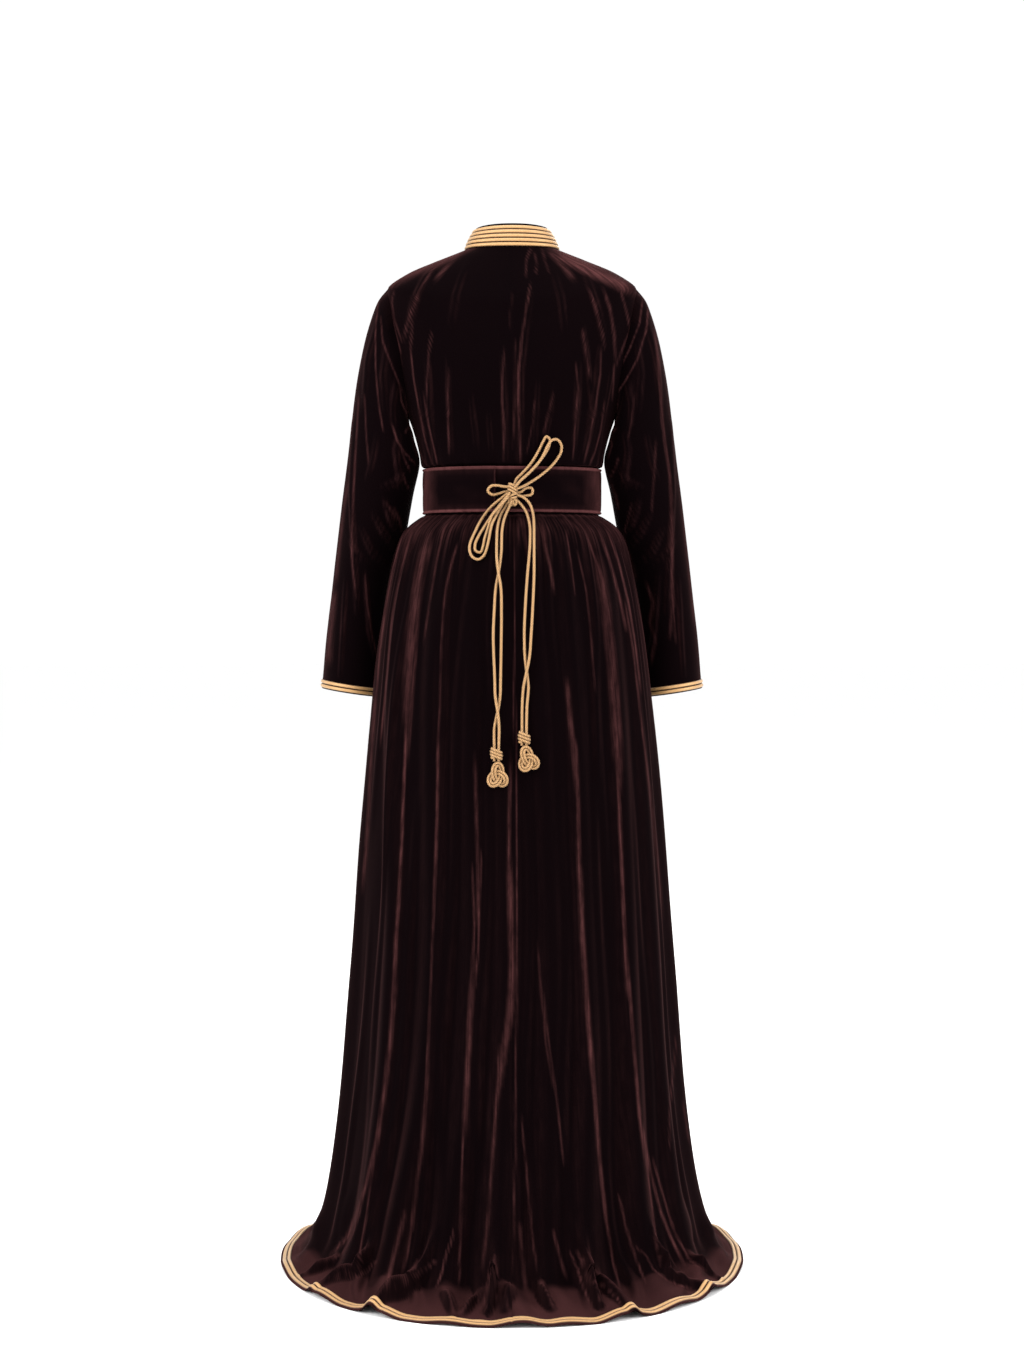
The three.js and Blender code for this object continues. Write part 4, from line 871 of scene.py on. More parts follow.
def gather_height(angle, place, depth):
    """Gathers into the waist, each of its own depth and length."""
    turned = turn_between(angle, 0)
    count = np.where(np.abs(turned) <= 90, BACK_GATHERS, FRONT_GATHERS)
    swaying = bump(np.abs(turned) - SWAY_MIDDLE, SWAY_MIDDLE)
    swayed = turned + GATHER_SWAY * np.sin(turned * SWAY_PACE + 1) * swaying
    number = swayed * count / 90
    which = np.floor(number / 2)
    wave = (1 - np.cos(np.pi * number)) / 2
    own = 1 - GATHER_DEPTHS + GATHER_DEPTHS * np.sin(5 * which)
    reach = place * (1 + GATHER_LENGTHS * np.sin(3.7 * which + 1))
    near = bump(place - FINE_GATHER_RING, FINE_GATHER_SPAN)
    fine = FINE_GATHERS * (1 - np.cos(3 * np.pi * number)) * near
    high = between(GATHER_HEIGHT, np.minimum(reach, 8))
    return depth * (high * wave**GATHER_CREST * own + 0.8 * fine)


def skirt_crease_height(angle, place, depth):
    height = np.zeros(np.shape(angle))
    for start, end, at, until, half_width, rise in SKIRT_CREASES:
        share = np.clip((place - start) / (end - start), 0, 1)
        sway = CREASE_SWAY * np.sin(2.2 * place + at)
        off = turn_between(angle, at + (until - at) * share + sway)
        height += rise * np.sin(np.pi * share) ** 0.8 * bump(off, half_width)
    for at, ring, half_width, half_height, rise in SKIRT_BUCKLES:
        near = bump(turn_between(angle, at), half_width) * bump(place - ring, half_height)
        height += rise * near
    calm = bump(np.maximum(0, place - CREASES_END), CREASES_FADE)
    drift = uneven(turn_between(angle, 0) * 0.22, place * 1.3, 0.7)
    drift = SKIRT_DRIFT * drift * bump(np.minimum(0, place - 4), 3)
    seam = bump(turn_between(angle, 0) * np.maximum(place, 2) / 5, 0.9)
    return depth * (height * calm + drift - SEAM_DEPTH * seam)


def train_height(points, place, depth):
    """Folds of the train, which stand highest where the cloth meets the floor."""
    height = np.zeros(np.shape(place))
    for half_width, rise, line in TRAIN_FOLDS:
        off, along = line_distance(points[..., 0], points[..., 1], line)
        wave = TRAIN_WAVE_START + TRAIN_WAVE_SPAN * along**TRAIN_WAVE_DELAY
        shape = np.sin(np.pi * wave)
        height = np.maximum(height, rise * shape * bump(off, half_width))
    return TRAIN_RISE * depth * height * np.clip((place - TRAIN_START) / TRAIN_FADE, 0, 1)


def skirt(angle, place):
    sizes = bpy.context.scene.kaftan_sizes
    points = skirt_base(angle, place)
    height = fold_height(angle, place) + gather_height(angle, place, sizes.gathers)
    height = height + skirt_crease_height(angle, place, sizes.creases)
    height = height + train_height(points, place, sizes.creases)
    return points + surface_normals(skirt_base, angle, place) * height[..., None]


def bodice_base(angle, place):
    return ring_points(ring_sizes(BODICE, place), angle, BODICE_ROUNDNESS)


def bodice(angle, place):
    depth = bpy.context.scene.kaftan_sizes.creases
    rings = list(BODICE)
    top, bottom = rings.index("armhole top"), rings.index("under belt")
    down = np.clip((place - top) / (bottom - top), 0, 1)
    folds = np.zeros(np.shape(angle))
    for upper, lower, rise in BODICE_FOLDS:
        middle = upper + (lower - upper) * down
        folds += rise * bump(turn_between(angle, middle), BODICE_FOLD_HALF_WIDTH)
    points = bodice_base(angle, place)
    behind = np.cos(np.radians(angle)) >= 0
    creases = np.where(
        behind,
        crease_height(points, BODICE_CREASES, depth),
        crease_height(points, FRONT_CREASES, depth),
    )
    tucks = TUCK_HEIGHT * (1 - np.cos(angle * TUCK_PACE)) / 2 * bump(place - BELT_RING, TUCK_SPAN)
    above_belt = 1 - np.clip(place - BELT_RING, 0, 1)
    inside_edges = np.clip(place / 1.2, 0, 1) * above_belt
    height = folds * np.sin(np.pi * down) + (creases + tucks) * inside_edges
    return points + surface_normals(bodice_base, angle, place) * height[..., None]


def sleeve_controls(side, count):
    """The armhole's edge and the rings of a sleeve, each with count points."""
    turn = np.arange(count) / count
    corner = turn * 2 * ARMHOLE_SPAN
    behind = corner <= ARMHOLE_SPAN
    ring = ARMHOLE_TOP + np.where(behind, corner, 2 * ARMHOLE_SPAN - corner)
    angle = np.where(behind, between(ARM_BACK, ring), 180 - between(ARM_FRONT, ring))
    rows = [bodice(side * angle[None], ring[None])[0] + np.array((side * 0.3, 0, 0))]
    for outer_x, outer_z, inner_x, inner_z, forward, depth in SLEEVE:
        out, round_ = np.cos(2 * np.pi * turn), np.sin(2 * np.pi * turn)
        x = (outer_x + inner_x) / 2 + (outer_x - inner_x) / 2 * out
        z = (outer_z + inner_z) / 2 + (outer_z - inner_z) / 2 * out
        rows.append(np.stack((side * x, depth * round_ - forward, z), -1))
    return np.array(rows)


def sleeve_grid(side, rows, count):
    depth = bpy.context.scene.kaftan_sizes.creases
    controls = sleeve_controls(side, count)
    grid = between(controls, np.linspace(0, len(controls) - 1, rows))
    normals = grid_normals(grid, True) * -side
    mirrored = grid * np.array((side, 1, 1))
    front = mirrored + np.array(SLEEVE_FRONT_SHIFT)
    turn = np.arange(count) / count
    behind = np.sin(2 * np.pi * turn) >= 0
    height = np.where(
        behind,
        crease_height(mirrored, SLEEVE_CREASES, depth),
        crease_height(front, SLEEVE_CREASES, depth * SLEEVE_FRONT_SHARE),
    )
    height *= np.abs(np.sin(2 * np.pi * turn)) ** SLEEVE_SIDES
    below = np.clip(np.linspace(0, SLEEVE_RISE_BELOW, rows), 0, 1)
    above = np.clip(np.linspace(SLEEVE_RISE_ABOVE, 0, rows), 0, 1)
    calm = below * above
    height += SLEEVE_WAVES * uneven(turn * 18, np.linspace(0, 12, rows)[:, None], 1.3 + side)
    return grid + normals * (height * calm[:, None])[..., None], -side


def collar_surface(angle, place):
    base, top = np.array(COLLAR_BASE), np.array(COLLAR_TOP)
    values = base + (top - base) * np.asarray(place)[..., None]
    sizes = {name: values[..., k] for k, name in enumerate(COLUMNS)}
    out = COLLAR_BULGE * 4 * place * (1 - place)
    for name in ("side", "back", "front"):
        sizes[name] = sizes[name] + out
    return ring_points(sizes, angle, BODICE_ROUNDNESS)


def new_mesh(name, points, faces, materials, uvs):
    """An object of points in millimetres, which rides on the garment."""
    mesh = bpy.data.meshes.new(name)
    mesh.from_pydata((np.asarray(points) * MM).tolist(), [], faces)
    layer = mesh.uv_layers.new(name="Cloth")
    loops = np.empty(len(mesh.loops), int)
    mesh.loops.foreach_get("vertex_index", loops)
    layer.data.foreach_set("uv", np.asarray(uvs)[loops].ravel())
    mesh.polygons.foreach_set("use_smooth", [True] * len(mesh.polygons))
    for material in materials:
        mesh.materials.append(material)
    mesh.set_sharp_from_angle(angle=math.radians(SHARP_ANGLE))
    mesh.update()
    obj = bpy.data.objects.new(name, mesh)
    bpy.context.scene.collection.objects.link(obj)
    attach(obj, "root")
    return obj


def mark(obj, name, values):
    """Gives each point of a mesh a value that its material reads."""
    obj.data.attributes.new(name, "FLOAT", "POINT").data.foreach_set("value", values)


def grid_faces(rows, count, closed, offset=0, turned=False):
    """Quads of a grid of points, numbered row by row."""
    spans = count if closed else count - 1
    r, c = np.meshgrid(np.arange(rows - 1), np.arange(spans), indexing="ij")
    a = offset + r * count + c
    b = offset + r * count + (c + 1) % count
    quads = np.stack((a, a + count, b + count, b), -1).reshape(-1, 4)
    return quads[:, ::-1].tolist() if turned else quads.tolist()


def rim_faces(rows, count, closed, turned):
    """Quads that join the outer and the inner side of a shell round its edges."""
    total = rows * count
    spans = count if closed else count - 1
    c = np.arange(spans)
    after = (c + 1) % count
    last = (rows - 1) * count
    faces = [np.stack((c, after, after + total, c + total), -1)]
    low, high = last + c, last + after
    faces.append(np.stack((high, low, low + total, high + total), -1))
    if not closed:
        r = np.arange(rows - 1) * count
        faces.append(np.stack((r + count, r, r + total, r + count + total), -1))
        far = r + count - 1
        faces.append(np.stack((far, far + count, far + count + total, far + total), -1))
    quads = np.concatenate(faces)
    return quads[:, ::-1].tolist() if turned else quads.tolist()


def bar_faces(rows, count, closed):
    """Faces of a bar whose section is a loop of rows, with an end on each side unless closed."""
    faces = grid_faces(rows, count, closed)
    c = np.arange(count if closed else count - 1)
    after = (c + 1) % count
    last = (rows - 1) * count
    faces += np.stack((last + c, c, after, last + after), -1).tolist()
    if not closed:
        faces.append([row * count for row in range(rows)][::-1])
        faces.append([row * count + count - 1 for row in range(rows)])
    return faces


def smoothed(grid, width, closed):
    """A grid averaged along its rows over a width of points, twice."""
    for _ in range(2):
        ends = ((0, 0), (width, width), (0, 0))
        padded = np.pad(grid, ends, mode="wrap" if closed else "edge")
        total = np.cumsum(np.pad(padded, ((0, 0), (1, 0), (0, 0))), axis=1)
        grid = (total[:, 2 * width + 1:] - total[:, :-2 * width - 1]) / (2 * width + 1)
    return grid


def painted_highlights(outer, out, closed, lines, flank_light):
    """Painted highlights on the pile: along its lines and on the flanks of folds, and the share of the
    cloth that lies flat, which gets a painted highlight in the material."""
    normals = grid_normals(outer, closed) * out
    width = max(4, outer.shape[1] // 12)
    flank = np.linalg.norm(normals - smoothed(normals, width, closed), axis=-1)
    flat = np.clip((normals[..., 2] - FLAT_FROM) / FLAT_SPAN, 0, 1)
    flanks = flank_light * np.clip((flank - FLANK_FROM) * FLANK_GAIN, 0, 1) * (1 - flat)
    return np.clip(shine(outer, normals, lines) + flanks, 0, 1), flat


def cloth_uv(outer):
    """Places on the cloth in metres, across its rows and down its columns."""
    across = np.linalg.norm(np.diff(outer, axis=1), axis=-1).mean(axis=0)
    down = np.linalg.norm(np.diff(outer, axis=0), axis=-1).mean(axis=1)
    u, v = np.meshgrid(np.append(0, np.cumsum(across)), np.append(0, np.cumsum(down)))
    shift = 0.37 * len(bpy.data.meshes)
    return np.tile(np.stack((u * MM + shift, v * MM), -1).reshape(-1, 2), (2, 1))


def shell(name, outer, out, lines=(), closed=False, flank_light=FLANK_LIGHT):
    """A thin velvet wall whose outer side is a grid of points. out is 1 or -1, the side of its
    normals that faces out, lines are where light lies along its pile, and flank_light is how
    much lies on the flanks of its folds."""
    thickness = bpy.context.scene.kaftan_sizes.cloth / MM
    rows, count = outer.shape[:2]
    inner = outer - grid_normals(outer, closed) * out * thickness
    turned = out > 0
    faces = grid_faces(rows, count, closed, 0, turned)
    faces += grid_faces(rows, count, closed, rows * count, not turned)
    faces += rim_faces(rows, count, closed, turned)
    points = np.concatenate((outer.reshape(-1, 3), inner.reshape(-1, 3)))
    obj = new_mesh(name, points, faces, [velvet()], cloth_uv(outer))
    # Painted highlights on the pile, and the share that lies flat, where the material paints a highlight
    # too
    painted_light, flat = painted_highlights(outer, out, closed, lines, flank_light)
    mark(obj, "Painted Highlight", np.tile(painted_light.ravel(), 2))
    mark(obj, "Flat", np.tile(flat.ravel(), 2))
    return obj


def braid_rows(sizes):
    """The number of each row of a braid, and how far off its two edges are."""
    for number in range(sizes["rows"]):
        near = sizes["first"] + number * sizes["pitch"]
        yield number + 1, near, near + sizes["width"]


def braid(name, node, strip, normals, width, closed):
    """A flat plaited band. strip gives its two edges as rows of points, the near one first."""
    thick = bpy.context.scene.kaftan_sizes.braid / MM
    near, far = strip
    section = list(zip(BRAID_ACROSS, BRAID_ABOVE))
    rows = [near + (far - near) * share + normals * thick * up for share, up in section]
    run = run_along(near)
    uvs = [np.stack((run, np.full(len(run), (share - 0.5) * width)), -1) for share in BRAID_ACROSS]
    count = len(near)
    faces = bar_faces(len(rows), count, closed)
    points = np.concatenate(rows)
    obj = new_mesh(name, points, faces, [gold("Plaited Gold Braid")], np.concatenate(uvs) * MM)
    # Painted shade on the braid's low edges, which marks a dark line between its rows
    raised = np.clip((np.array(BRAID_ABOVE) - 0.5) / 0.4, 0, 1)
    mark(obj, "Raised", np.repeat(raised, count))
    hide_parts(node)


def smooth_line(points, step):
    """A smooth curve through points, read in even steps."""
    points = np.asarray(points, float)
    ends = np.concatenate((2 * points[:1] - points[1:2], points, 2 * points[-1:] - points[-2:-1]))
    gaps = np.maximum(np.linalg.norm(np.diff(ends, axis=0), axis=1), 1e-6) ** 0.5
    fine = []
    for k in range(len(points) - 1):
        p0, p1, p2, p3 = ends[k:k + 4]
        d0, d1, d2 = gaps[k:k + 3]
        a = ((p1 - p0) / d0 - (p2 - p0) / (d0 + d1) + (p2 - p1) / d1) * d1
        b = ((p2 - p1) / d1 - (p3 - p1) / (d1 + d2) + (p3 - p2) / d2) * d1
        t = np.linspace(0, 1, CURVE_STEPS, endpoint=False)[:, None]
        fine.append(p1 + a * t + (3 * (p2 - p1) - 2 * a - b) * t**2 + (a + b - 2 * (p2 - p1)) * t**3)
    fine = np.concatenate(fine + [points[-1:]])
    run = run_along(fine)
    at = np.linspace(0, run[-1], max(2, int(round(run[-1] / step)) + 1))
    return np.stack([np.interp(at, run, fine[:, k]) for k in range(3)], -1)


def line_frames(path, closed):
    """A side and an up vector at each point of a path, which don't spin round it."""
    if closed:
        ways = unit(np.roll(path, -1, axis=0) - np.roll(path, 1, axis=0))
    else:
        ways = unit(np.gradient(path, axis=0))
    side = unit(np.cross(ways[0], ASIDE))
    sides = []
    for way in ways:
        side = unit(side - way * side.dot(way))
        sides.append(side)
    sides = np.array(sides)
    return sides, np.cross(ways, sides)


def rope_rings(path, across, closed=False):
    """Rings of a twisted rope with three strands."""
    pitch = bpy.context.scene.kaftan_sizes.twist / MM * across / CORD
    sides, ups = line_frames(path, closed)
    run = run_along(path)
    turns = run / pitch
    if closed:
        turns = turns / turns[-1] * round(turns[-1])
    k = np.arange(ROPE_POINTS) / ROPE_POINTS
    lobe = np.abs(np.cos(STRANDS * np.pi * k))
    radius = across / 2 * (ROPE_CORE + STRAND_RISE * lobe**0.7)
    angle = 2 * np.pi * (k + turns[:, None])
    rings = path[:, None] + radius[None, :, None] * (
        np.cos(angle)[..., None] * sides[:, None] + np.sin(angle)[..., None] * ups[:, None]
    )
    uv = np.stack(np.broadcast_arrays(run[:, None], k[None] * np.pi * across), -1) * MM
    # Raised is low between the strands, where the gold gets painted shade
    return rings, uv, np.tile(np.clip(lobe * 1.5, 0, 1), len(path))


def rope(name, node, paths, across, closed=False):
    """Twisted cord along each path, as one piece."""
    points, faces, uvs, lobes = [], [], [], []
    done = 0
    for path in paths:
        rings, uv, raised = rope_rings(path, across, closed)
        lobes.append(raised)
        count = rings.shape[1]
        faces += grid_faces(len(rings), count, True, done)
        if closed:
            first = done + np.arange(count)
            last = done + (len(rings) - 1) * count + np.arange(count)
            quads = np.stack((last, first, np.roll(first, -1), np.roll(last, -1)), -1)
            faces += quads.tolist()
        else:
            tip = list(range(done, done + count))
            faces += [tip, [v + (len(rings) - 1) * count for v in reversed(tip)]]
        points.append(rings.reshape(-1, 3))
        uvs.append(uv.reshape(-1, 2))
        done += len(rings) * count
    material = gold("Twisted Gold Cord")
    obj = new_mesh(name, np.concatenate(points), faces, [material], np.concatenate(uvs))
    mark(obj, "Raised", np.concatenate(lobes))
    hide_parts(node)
    return obj


# Sockets of a colour mix, which share their names with those of its other kinds
COLOUR_FACTOR, COLOUR_A, COLOUR_B, COLOUR_RESULT = 0, 6, 7, 2


def put(tree, kind, inputs=None, **settings):
    """A node with its settings made, and its inputs set or linked."""
    node = tree.nodes.new(kind)
    for name, value in settings.items():
        setattr(node, name, value)
    for name, value in (inputs or {}).items():
        if isinstance(value, bpy.types.NodeSocket):
            tree.links.new(value, node.inputs[name])
        else:
            node.inputs[name].default_value = value
    return node


def calc(tree, operation, *values):
    inputs = dict(enumerate(values))
    return put(tree, "ShaderNodeMath", inputs, operation=operation).outputs[0]


def spread(tree, value, low, high, start=0.0, end=1.0):
    """A value from low to high, brought to between start and end."""
    inputs = {"Value": value, "From Min": low, "From Max": high, "To Min": start, "To Max": end}
    return put(tree, "ShaderNodeMapRange", inputs).outputs[0]


def new_group(name, inputs, outputs):
    """A shader group with named inputs and outputs."""
    group = bpy.data.node_groups.new(name, "ShaderNodeTree")
    for label, kind, default in inputs:
        socket = group.interface.new_socket(label, in_out="INPUT", socket_type=kind)
        if default is not None:
            socket.default_value = default
    for label, kind in outputs:
        group.interface.new_socket(label, in_out="OUTPUT", socket_type=kind)
    return group, put(group, "NodeGroupInput"), put(group, "NodeGroupOutput")


def group_noise(tree, place, stretch, scale, detail):
    slim = put(tree, "ShaderNodeMapping", {"Vector": place, "Scale": stretch}).outputs[0]
    return put(tree, "ShaderNodeTexNoise", {"Vector": slim, "Scale": scale, "Detail": detail}).outputs[0]


def nap_and_highlight_group():
    """How the pile of velvet lies: its painted highlights broken up by streaks, crushed places and
    patches, a painted highlight in soft patches where the cloth lies flat, and its fine grain.
    """
    name = "Velvet Nap"
    if name in bpy.data.node_groups:
        return bpy.data.node_groups[name]
    floats = "NodeSocketFloat"
    inputs = [
        ("Patch Size", floats, 0.12), ("Streaks", floats, 1.0), ("Crush", floats, 0.5),
        ("Grain Size", floats, 0.0012),
    ]
    group, inside, out = new_group(name, inputs, [("Painted Highlight", floats), ("Height", floats)])
    place = put(group, "ShaderNodeTexCoord").outputs["Object"]
    cloth = put(group, "ShaderNodeUVMap", uv_map="Cloth").outputs[0]
    scale = calc(group, "DIVIDE", 1.0, inside.outputs["Patch Size"])
    fine = calc(group, "DIVIDE", 1.0, inside.outputs["Grain Size"])
    streaks = group_noise(group, cloth, (1, 0.035, 1), calc(group, "MULTIPLY", scale, 34.0), 2.0)
    patches = group_noise(group, cloth, (1, 0.3, 1), scale, 3.0)
    crush = group_noise(group, cloth, (1, 0.3, 1), 110.0, 4.0)
    grain = group_noise(group, place, (1, 1, 1), fine, 2.0)
    lit = put(group, "ShaderNodeAttribute", attribute_name="Painted Highlight").outputs["Fac"]
    thin = spread(group, streaks, 0.36, 0.64, -0.5, 0.2)
    thin = calc(group, "MULTIPLY_ADD", thin, inside.outputs["Streaks"], 1.0)
    small = spread(group, crush, 0.32, 0.68, -1.0, 0.35)
    small = calc(group, "MULTIPLY_ADD", small, inside.outputs["Crush"], 1.0)
    large = spread(group, patches, 0.3, 0.66, 0.7, 1.15)
    broken = calc(group, "MULTIPLY", calc(group, "MULTIPLY", thin, small), large)
    haze = spread(group, patches, 0.4, 0.75, 0.0, 0.008)
    marked = calc(group, "MULTIPLY_ADD", lit, broken, haze)
    # Cloth that lies flat gets a painted highlight, in soft patches
    flat = put(group, "ShaderNodeAttribute", attribute_name="Flat").outputs["Fac"]
    calm = spread(group, patches, 0.3, 0.7, 0.24, 0.5)
    marked = calc(group, "MULTIPLY_ADD", flat, calm, marked)
    tips = spread(group, grain, 0.3, 0.7, 0.8, 1.15)
    group.links.new(calc(group, "MULTIPLY", marked, tips), out.inputs["Painted Highlight"])
    height = calc(group, "MULTIPLY_ADD", crush, 0.6, grain)
    group.links.new(height, out.inputs["Height"])
    return group


def thread_group():
    """Bundles of gold thread that slant from the middle of a band, and the fine thread in them, with
    painted shade in the grooves between bundles and where the band or strand lies low.
    """
    name = "Gold Thread"
    if name in bpy.data.node_groups:
        return bpy.data.node_groups[name]
    floats = "NodeSocketFloat"
    inputs = [
        ("Bundle", floats, 0.003), ("Slant", floats, 1.0), ("Thread", floats, 0.0005),
        ("Grooves", floats, 0.5),
    ]
    group, inside, out = new_group(name, inputs, [("Lit", floats), ("Height", floats)])
    uv = put(group, "ShaderNodeUVMap", uv_map="Cloth").outputs[0]
    parts = put(group, "ShaderNodeSeparateXYZ", {"Vector": uv})
    off = calc(group, "ABSOLUTE", parts.outputs["Y"])
    slanted = calc(group, "MULTIPLY_ADD", off, inside.outputs["Slant"], parts.outputs["X"])
    turn = calc(group, "DIVIDE", slanted, inside.outputs["Bundle"])
    lobe = calc(group, "ABSOLUTE", calc(group, "SINE", calc(group, "MULTIPLY", turn, math.pi)))
    crossed = calc(group, "MULTIPLY_ADD", parts.outputs["X"], -0.55, off)
    fine = calc(group, "DIVIDE", crossed, inside.outputs["Thread"])
    thread = calc(group, "SINE", calc(group, "MULTIPLY", fine, 2 * math.pi))
    soft = calc(group, "MULTIPLY_ADD", thread, 0.5, 0.5)
    place = put(group, "ShaderNodeTexCoord").outputs["Object"]
    noise = put(group, "ShaderNodeTexNoise", {"Vector": place, "Scale": 420.0, "Detail": 3.0})
    worn = spread(group, noise.outputs[0], 0.3, 0.7, 0.92, 1.04)
    # Painted shade where the band or strand lies low, and in the grooves between bundles
    raised = put(group, "ShaderNodeAttribute", attribute_name="Raised").outputs["Fac"]
    groove = calc(group, "SUBTRACT", 0.95, calc(group, "POWER", lobe, 0.6))
    rope = calc(group, "SUBTRACT", 0.95, calc(group, "MULTIPLY", groove, inside.outputs["Grooves"]))
    lit = calc(group, "MULTIPLY_ADD", soft, 0.12, rope)
    lit = calc(group, "MULTIPLY", calc(group, "MULTIPLY", lit, worn), raised)
    group.links.new(lit, out.inputs["Lit"])
    height = calc(group, "MULTIPLY_ADD", soft, 0.22, lobe)
    group.links.new(height, out.inputs["Height"])
    return group


def use_group(tree, group, **values):
    node = put(tree, "ShaderNodeGroup", node_tree=group)
    for name, value in values.items():
        node.inputs[name.replace("_", " ").title()].default_value = value
    return node


def new_material(name, build):
    """A material, made once."""
    if name in bpy.data.materials:
        return bpy.data.materials[name]
    material = bpy.data.materials.new(name)
    material.use_nodes = True
    tree = material.node_tree
    tree.nodes.clear()
    shader = build(tree)
    put(tree, "ShaderNodeOutputMaterial", {"Surface": shader.outputs[0]})
    return material


def mixed(tree, share, low, high):
    """A colour between two, by a share that may be a socket."""
    inputs = {COLOUR_FACTOR: share, COLOUR_A: (*low, 1), COLOUR_B: (*high, 1)}
    node = put(tree, "ShaderNodeMix", inputs, data_type="RGBA", clamp_factor=True)
    return node.outputs[COLOUR_RESULT]


def velvet_shader(tree, lift, streaks, crush, rim):
    """Velvet, near black from above, with a painted rosy highlight where its pile is marked as lit and a
    painted sheen at its rims, where it turns away from the view.
    """
    colours = bpy.context.scene.kaftan_colours
    painted_nap_highlight = use_group(
        tree, nap_and_highlight_group(), patch_size=0.12, streaks=streaks, crush=crush, grain_size=0.0012
    )
    # high is the painted highlight colour that the velvet is mixed towards
    low = [value * lift for value in colours.velvet]
    high = [value * lift for value in colours.painted_nap_highlight]
    bumped = {"Height": painted_nap_highlight.outputs["Height"], "Strength": 0.4, "Distance": 0.0005}
    normal = put(tree, "ShaderNodeBump", bumped).outputs[0]
    # A painted sheen: the colour turns towards the painted highlight colour where the cloth turns away
    # from the view
    facing = put(tree, "ShaderNodeLayerWeight", {"Blend": 0.5}).outputs["Facing"]
    grazing = calc(tree, "MULTIPLY", calc(tree, "POWER", facing, 4.0), rim)
    share = calc(tree, "ADD", painted_nap_highlight.outputs["Painted Highlight"], grazing)
    inputs = {
        "Base Color": mixed(tree, share, low, high), "Normal": normal, "Roughness": 0.9,
        "Specular IOR Level": 0.015, "Sheen Weight": 0.008, "Sheen Roughness": 0.3,
        "Sheen Tint": (*colours.glow, 1),
    }
    return put(tree, "ShaderNodeBsdfPrincipled", inputs)


def velvet(name="Aubergine Velvet"):
    return new_material(name, lambda tree: velvet_shader(tree, *VELVETS[name]))


def gold_shader(tree, bundle, slant, thread, relief, grooves, sides):
    """Gold thread, with painted shade between its bundles and where it turns away. sides is how much
    painted shade it gets where it turns away.
    """
    colours = bpy.context.scene.kaftan_colours
    lines = use_group(
        tree, thread_group(), bundle=bundle, slant=slant, thread=thread, grooves=grooves
    )
    facing = put(tree, "ShaderNodeLayerWeight", {"Blend": 0.5}).outputs["Facing"]
    # Painted shade on the sides that turn away from the view
    dimmed = calc(tree, "MULTIPLY_ADD", calc(tree, "POWER", facing, 1.2), -sides, 1.0)
    share = calc(tree, "MULTIPLY", lines.outputs["Lit"], dimmed)
    colour = mixed(tree, share, colours.shade, colours.gold)
    bumped = {"Height": lines.outputs["Height"], "Strength": 0.45, "Distance": relief}
    normal = put(tree, "ShaderNodeBump", bumped).outputs[0]
    inputs = {
        "Base Color": colour, "Normal": normal, "Roughness": 0.45, "Metallic": 0.2,
        "Sheen Weight": 0.25, "Sheen Tint": (1.0, 0.86, 0.6, 1),
    }
    return put(tree, "ShaderNodeBsdfPrincipled", inputs)


def gold(name):
    return new_material(name, lambda tree: gold_shader(tree, *GOLDS[name]))


def floor_shader(tree):
    colour = bpy.context.scene.kaftan_colours.floor
    inputs = {"Base Color": (*colour, 1), "Roughness": 0.6, "Specular IOR Level": 0.2}
    return put(tree, "ShaderNodeBsdfPrincipled", inputs)


def velvet_piece(node):
    """Hides the CAD part of a cloth piece, named by its node."""
    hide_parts(node)


class KAFTAN_OT_skirt(bpy.types.Operator):
    """Makes the gathered skirt, its train and the two braids on its hem."""

    bl_idname = "kaftan.skirt"
    bl_label = "Skirt and train"

    def execute(self, context):
        for name, start, end, grid in (
            ("skirt_back_left", 0, 90, SKIRT_BACK_GRID),
            ("skirt_back_right", -90, 0, SKIRT_BACK_GRID),
            ("skirt_front_left", 90, 180, SKIRT_FRONT_GRID),
            ("skirt_front_right", 180, 270, SKIRT_FRONT_GRID),
        ):
            places = (len(SKIRT) - 1) * np.linspace(0, 1, grid[1])
            places[0] += 0.02
            angle, place = np.meshgrid(np.linspace(start, end, grid[0]), places)
            gathers = bump(places[:, None] - GATHER_LIGHT_RING, GATHER_LIGHT_SPAN)
            obj = shell(
                f"velvet_{name}", skirt(angle, place), 1, SKIRT_SHINE,
                flank_light=SKIRT_FLANK_LIGHT + GATHER_LIGHT * gathers,
            )
            velvet_piece(name)
        self.add_hem_braids()
        return {"FINISHED"}

    def add_hem_braids(self):
        angles = np.linspace(0, 360, HEM_BRAID_POINTS, endpoint=False)
        hem = np.full(angles.shape, len(SKIRT) - 1.0)
        edge, before = skirt(angles, hem), skirt(angles, hem - 0.5)
        normals = surface_normals(skirt, angles, hem - 0.3)
        length = np.linalg.norm(before - edge, axis=1) * 2
        for number, near, far in braid_rows(HEM_BRAID):
            strip = [skirt(angles, hem - distance / length) for distance in (near, far)]
            name, node = f"plait_hem_{number}", f"hem_braid_{number}"
            braid(name, node, strip, normals, HEM_BRAID["width"], True)


class KAFTAN_OT_bodice(bpy.types.Operator):
    """Makes the four panels above the waist."""

    bl_idname = "kaftan.bodice"
    bl_label = "Bodice"

    def execute(self, context):
        rows = np.linspace(0.01, len(BODICE) - 1, BODICE_GRID[1])
        for name, centre, turn, arm in (
            ("bodice_back_left", 0, 1, ARM_BACK), ("bodice_back_right", 0, -1, ARM_BACK),
            ("bodice_front_left", 180, -1, ARM_FRONT), ("bodice_front_right", 180, 1, ARM_FRONT),
        ):
            share = np.linspace(0, 1, BODICE_GRID[0])
            angle = centre + turn * share[None] * between(arm, rows)[:, None]
            place = np.broadcast_to(rows[:, None], angle.shape)
            obj = shell(f"velvet_{name}", bodice(angle, place), turn, BODICE_SHINE)
            velvet_piece(name)
        return {"FINISHED"}


